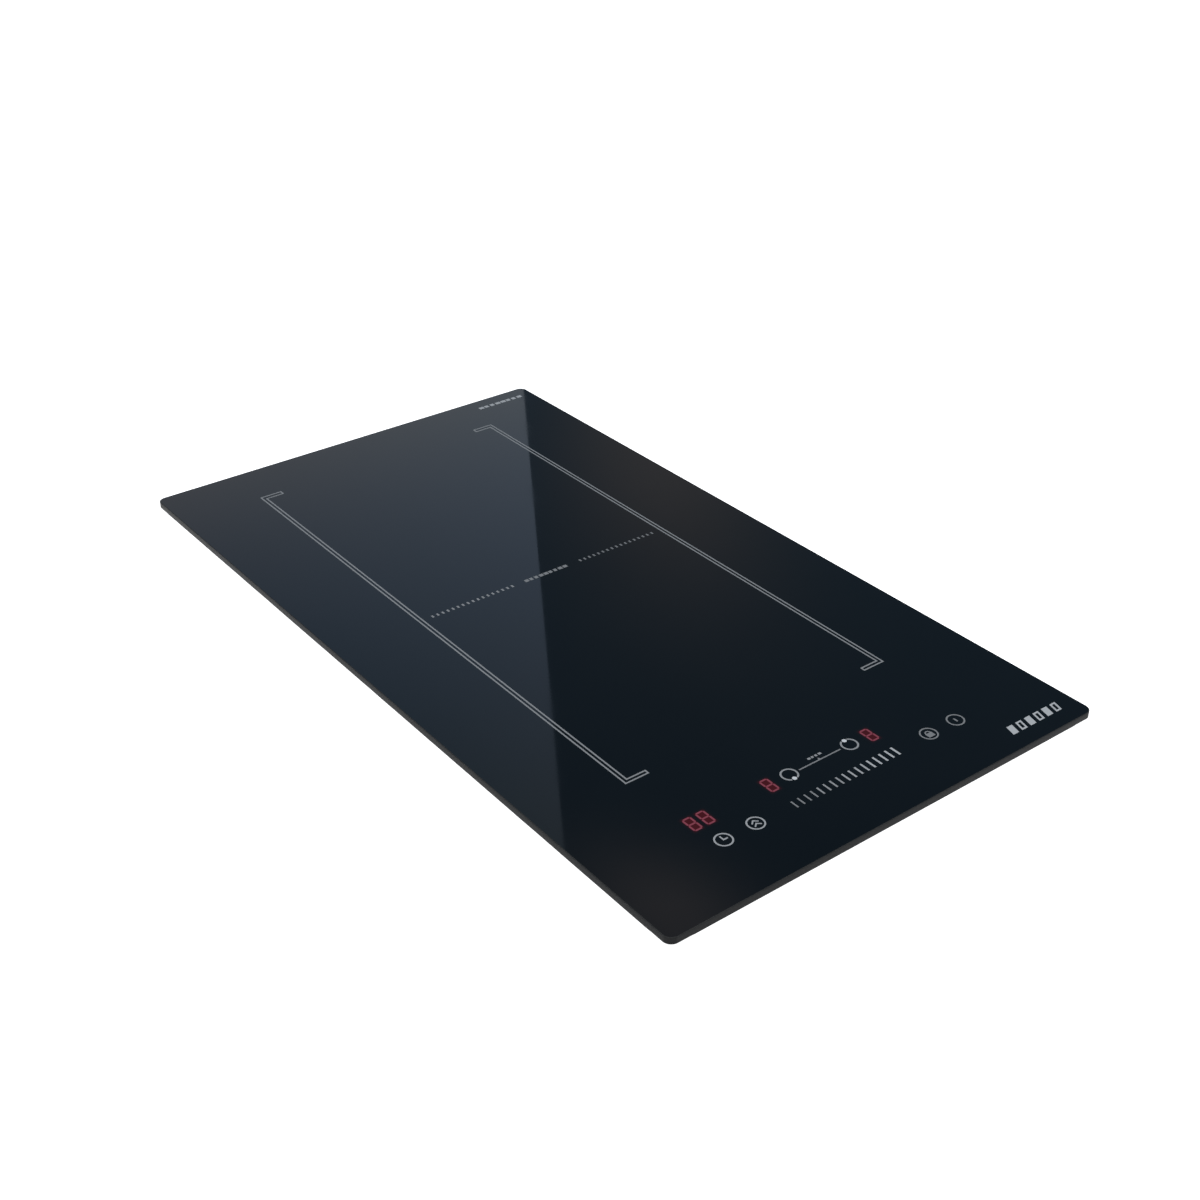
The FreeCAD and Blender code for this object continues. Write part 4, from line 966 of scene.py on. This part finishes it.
def worktop():
    """A thin pale sheet with the cut-out that the cooktop hangs in, its edge cut back below."""
    half_x, half_y, corner = HALF_W + WORKTOP_MARGIN, HALF_D + WORKTOP_MARGIN, WORKTOP_CORNER
    low, undercut = -WORKTOP_THICKNESS, WORKTOP_THICKNESS * math.tan(math.radians(WORKTOP_UNDERCUT))
    outer = (half_x, half_y, corner)
    lower = (half_x - undercut, half_y - undercut, corner - undercut)
    levels = [(WORKTOP_CUTOUT, low), (lower, low), (outer, -0.2 * MM), (outer, 0), (WORKTOP_CUTOUT, 0)]
    loops = [rounded_outline(*sizes, z) for sizes, z in levels]
    made = stage_mesh("worktop", *loft(loops, True), [studio_white("worktop_white", STAGE_GLOW), painted_shade_edge()])
    for face in made.data.polygons:
        face.use_smooth = False
        # Faces that look down get the grey material: painted shade on the pale sheet's underside and cut-back
        # edge.
        face.material_index = 0 if face.normal.z > -0.1 else 1


def painted_shade_edge():
    """The cut edge and the underside of the pale worktop sheet, coloured grey as painted shade on the faces that
    look down.
    """
    made = Material("worktop_painted_shade", Roughness=0.7)
    made.set(Base_Color=made.ramp(made.noise(60, 3), (0.3, (0.2, 0.2, 0.2)), (0.7, (0.26, 0.26, 0.26))))
    return made


def camera():
    """The camera on its line of sight; returns its place."""
    azimuth, elevation, roll = (math.radians(a) for a in (AZIMUTH, ELEVATION, ROLL))
    ahead = Vector((-math.sin(azimuth), math.cos(azimuth), 0))
    back = ahead * -math.cos(elevation) + Vector((0, 0, math.sin(elevation)))
    level = Vector((math.cos(azimuth), math.sin(azimuth), 0))
    rise = back.cross(level)
    up = rise * math.cos(roll) + level * math.sin(roll)
    right = level * math.cos(roll) - rise * math.sin(roll)
    data = bpy.data.cameras.new("camera")
    data.lens, data.sensor_width = LENS, 36
    data.clip_start, data.clip_end = 0.01, 60
    made = bpy.data.objects.new("camera", data)
    made.matrix_world = Matrix.Translation(AIM + back * DISTANCE) @ Matrix((right, up, back)).transposed().to_4x4()
    bpy.context.scene.collection.objects.link(made)
    bpy.context.scene.camera = made
    return AIM + back * DISTANCE


def bright_room(x, y):
    """Colour of the pale half of the room that the glass mirrors at x, y (mm): paler to the right and rear."""
    across, along = x / 100, y / 100
    level = Vector((0.35, 0.464, 0.637)) + Vector((0.091, 0.099, 0.127)) * across
    bend = Vector((0.022, 0.014, 0.003)) * along ** 2
    return level + bend - Vector((0.02, 0.017, 0.025)) * along * (across + 0.5)


def dark_room(x, y):
    """Colour of the dark half of the room: a warm glow over the middle right, and one at the near corner."""
    along = (ROOM_SPLIT[1] - ROOM_SPLIT[0]).normalized()
    here = Vector((x - 157, y - 114))
    glow = math.exp(-((here.dot(along) / 187) ** 2 + (here.cross(along) / 65) ** 2))
    corner = math.exp(-(((x + 130) / 31) ** 2 + ((y + 245) / 49) ** 2))
    level = Vector((0.071, 0.124, 0.183)) + Vector((0.17, 0.118, 0.079)) * glow
    return level + Vector((0.213, 0.164, 0.141)) * corner


def reflection_card(eye):
    """The room that the glass mirrors: a glowing sheet high behind the cooktop, in two halves."""
    split_foot, split_head = ROOM_SPLIT
    along = (split_head - split_foot).normalized()
    scale = (CARD_HEIGHT + eye.z) / eye.z
    material = Material("card_light", Roughness=1.0, Specular_IOR_Level=0.0, Base_Color=(0, 0, 0, 1))
    colour = material.node("Attribute", attribute_name="room").outputs["Color"]
    material.set(Emission_Color=colour, Emission_Strength=1.0)
    for name, side, room in (("card_bright", 1, bright_room), ("card_dark", -1, dark_room)):
        (columns, rows), (width, length) = CARD_CELLS, CARD_REACH
        across = Vector((-along.y, along.x)) * side
        vertices, colours = [], []
        for row in range(rows + 1):
            for column in range(columns + 1):
                spot = split_foot.lerp(split_head, 0.5) + along * (row / rows - 0.5) * length
                spot += across * (column / columns) ** 1.5 * width
                here = Vector((spot.x * MM, spot.y * MM))
                landed = eye.xy + (here - eye.xy) * scale
                vertices.append((landed.x, landed.y, CARD_HEIGHT))
                colours += [*room(spot.x, spot.y), 1]
        card = stage_mesh(name, vertices, grid_faces(columns, rows, 0), [material])
        card.data.attributes.new("room", "FLOAT_COLOR", "POINT").data.foreach_set("color", colours)
        card.visible_camera = False
        card.visible_diffuse = False
        card.visible_shadow = False


def lights():
    """One large soft box overhead."""
    data = bpy.data.lights.new("soft_box", "AREA")
    data.shape, data.size, data.energy = "SQUARE", SOFT_BOX_SIZE, SOFT_BOX_POWER
    data.color = (1.0, 0.99, 0.975)
    box = bpy.data.objects.new("soft_box", data)
    box.location = SOFT_BOX_PLACE
    bpy.context.scene.collection.objects.link(box)


def world():
    """White behind everything, and a dim cool room in what the surfaces mirror."""
    made = bpy.data.worlds.new("room")
    made.use_nodes = True
    tree = made.node_tree
    room, white = tree.nodes["Background"], tree.nodes.new("ShaderNodeBackground")
    room.inputs["Color"].default_value = WORLD_COLOUR
    white.inputs["Color"].default_value = (1, 1, 1, 1)
    white.inputs["Strength"].default_value = WORLD_WHITE
    paths, mix = tree.nodes.new("ShaderNodeLightPath"), tree.nodes.new("ShaderNodeMixShader")
    tree.links.new(paths.outputs["Is Camera Ray"], mix.inputs["Fac"])
    tree.links.new(room.outputs["Background"], mix.inputs[1])
    tree.links.new(white.outputs["Background"], mix.inputs[2])
    tree.links.new(mix.outputs["Shader"], tree.nodes["World Output"].inputs["Surface"])
    bpy.context.scene.world = made


# ---- putting it together --------------------------------------------------------------------

eye = camera()
dress_frame()
glass_plate()
foam_seal()
printed_marks()
digits()
for where in ("front", "rear"):
    coil_winding(where)
softened("touch_pads", "foam_pads", 0.4 * MM)
softened("frame_adhesive", "silicone_bead", 0.15 * MM)
coil_springs()

floor()
worktop()
lights()
world()
reflection_card(eye)

scene = bpy.context.scene
scene.view_settings.view_transform = "Standard"
scene.view_settings.look = "None"
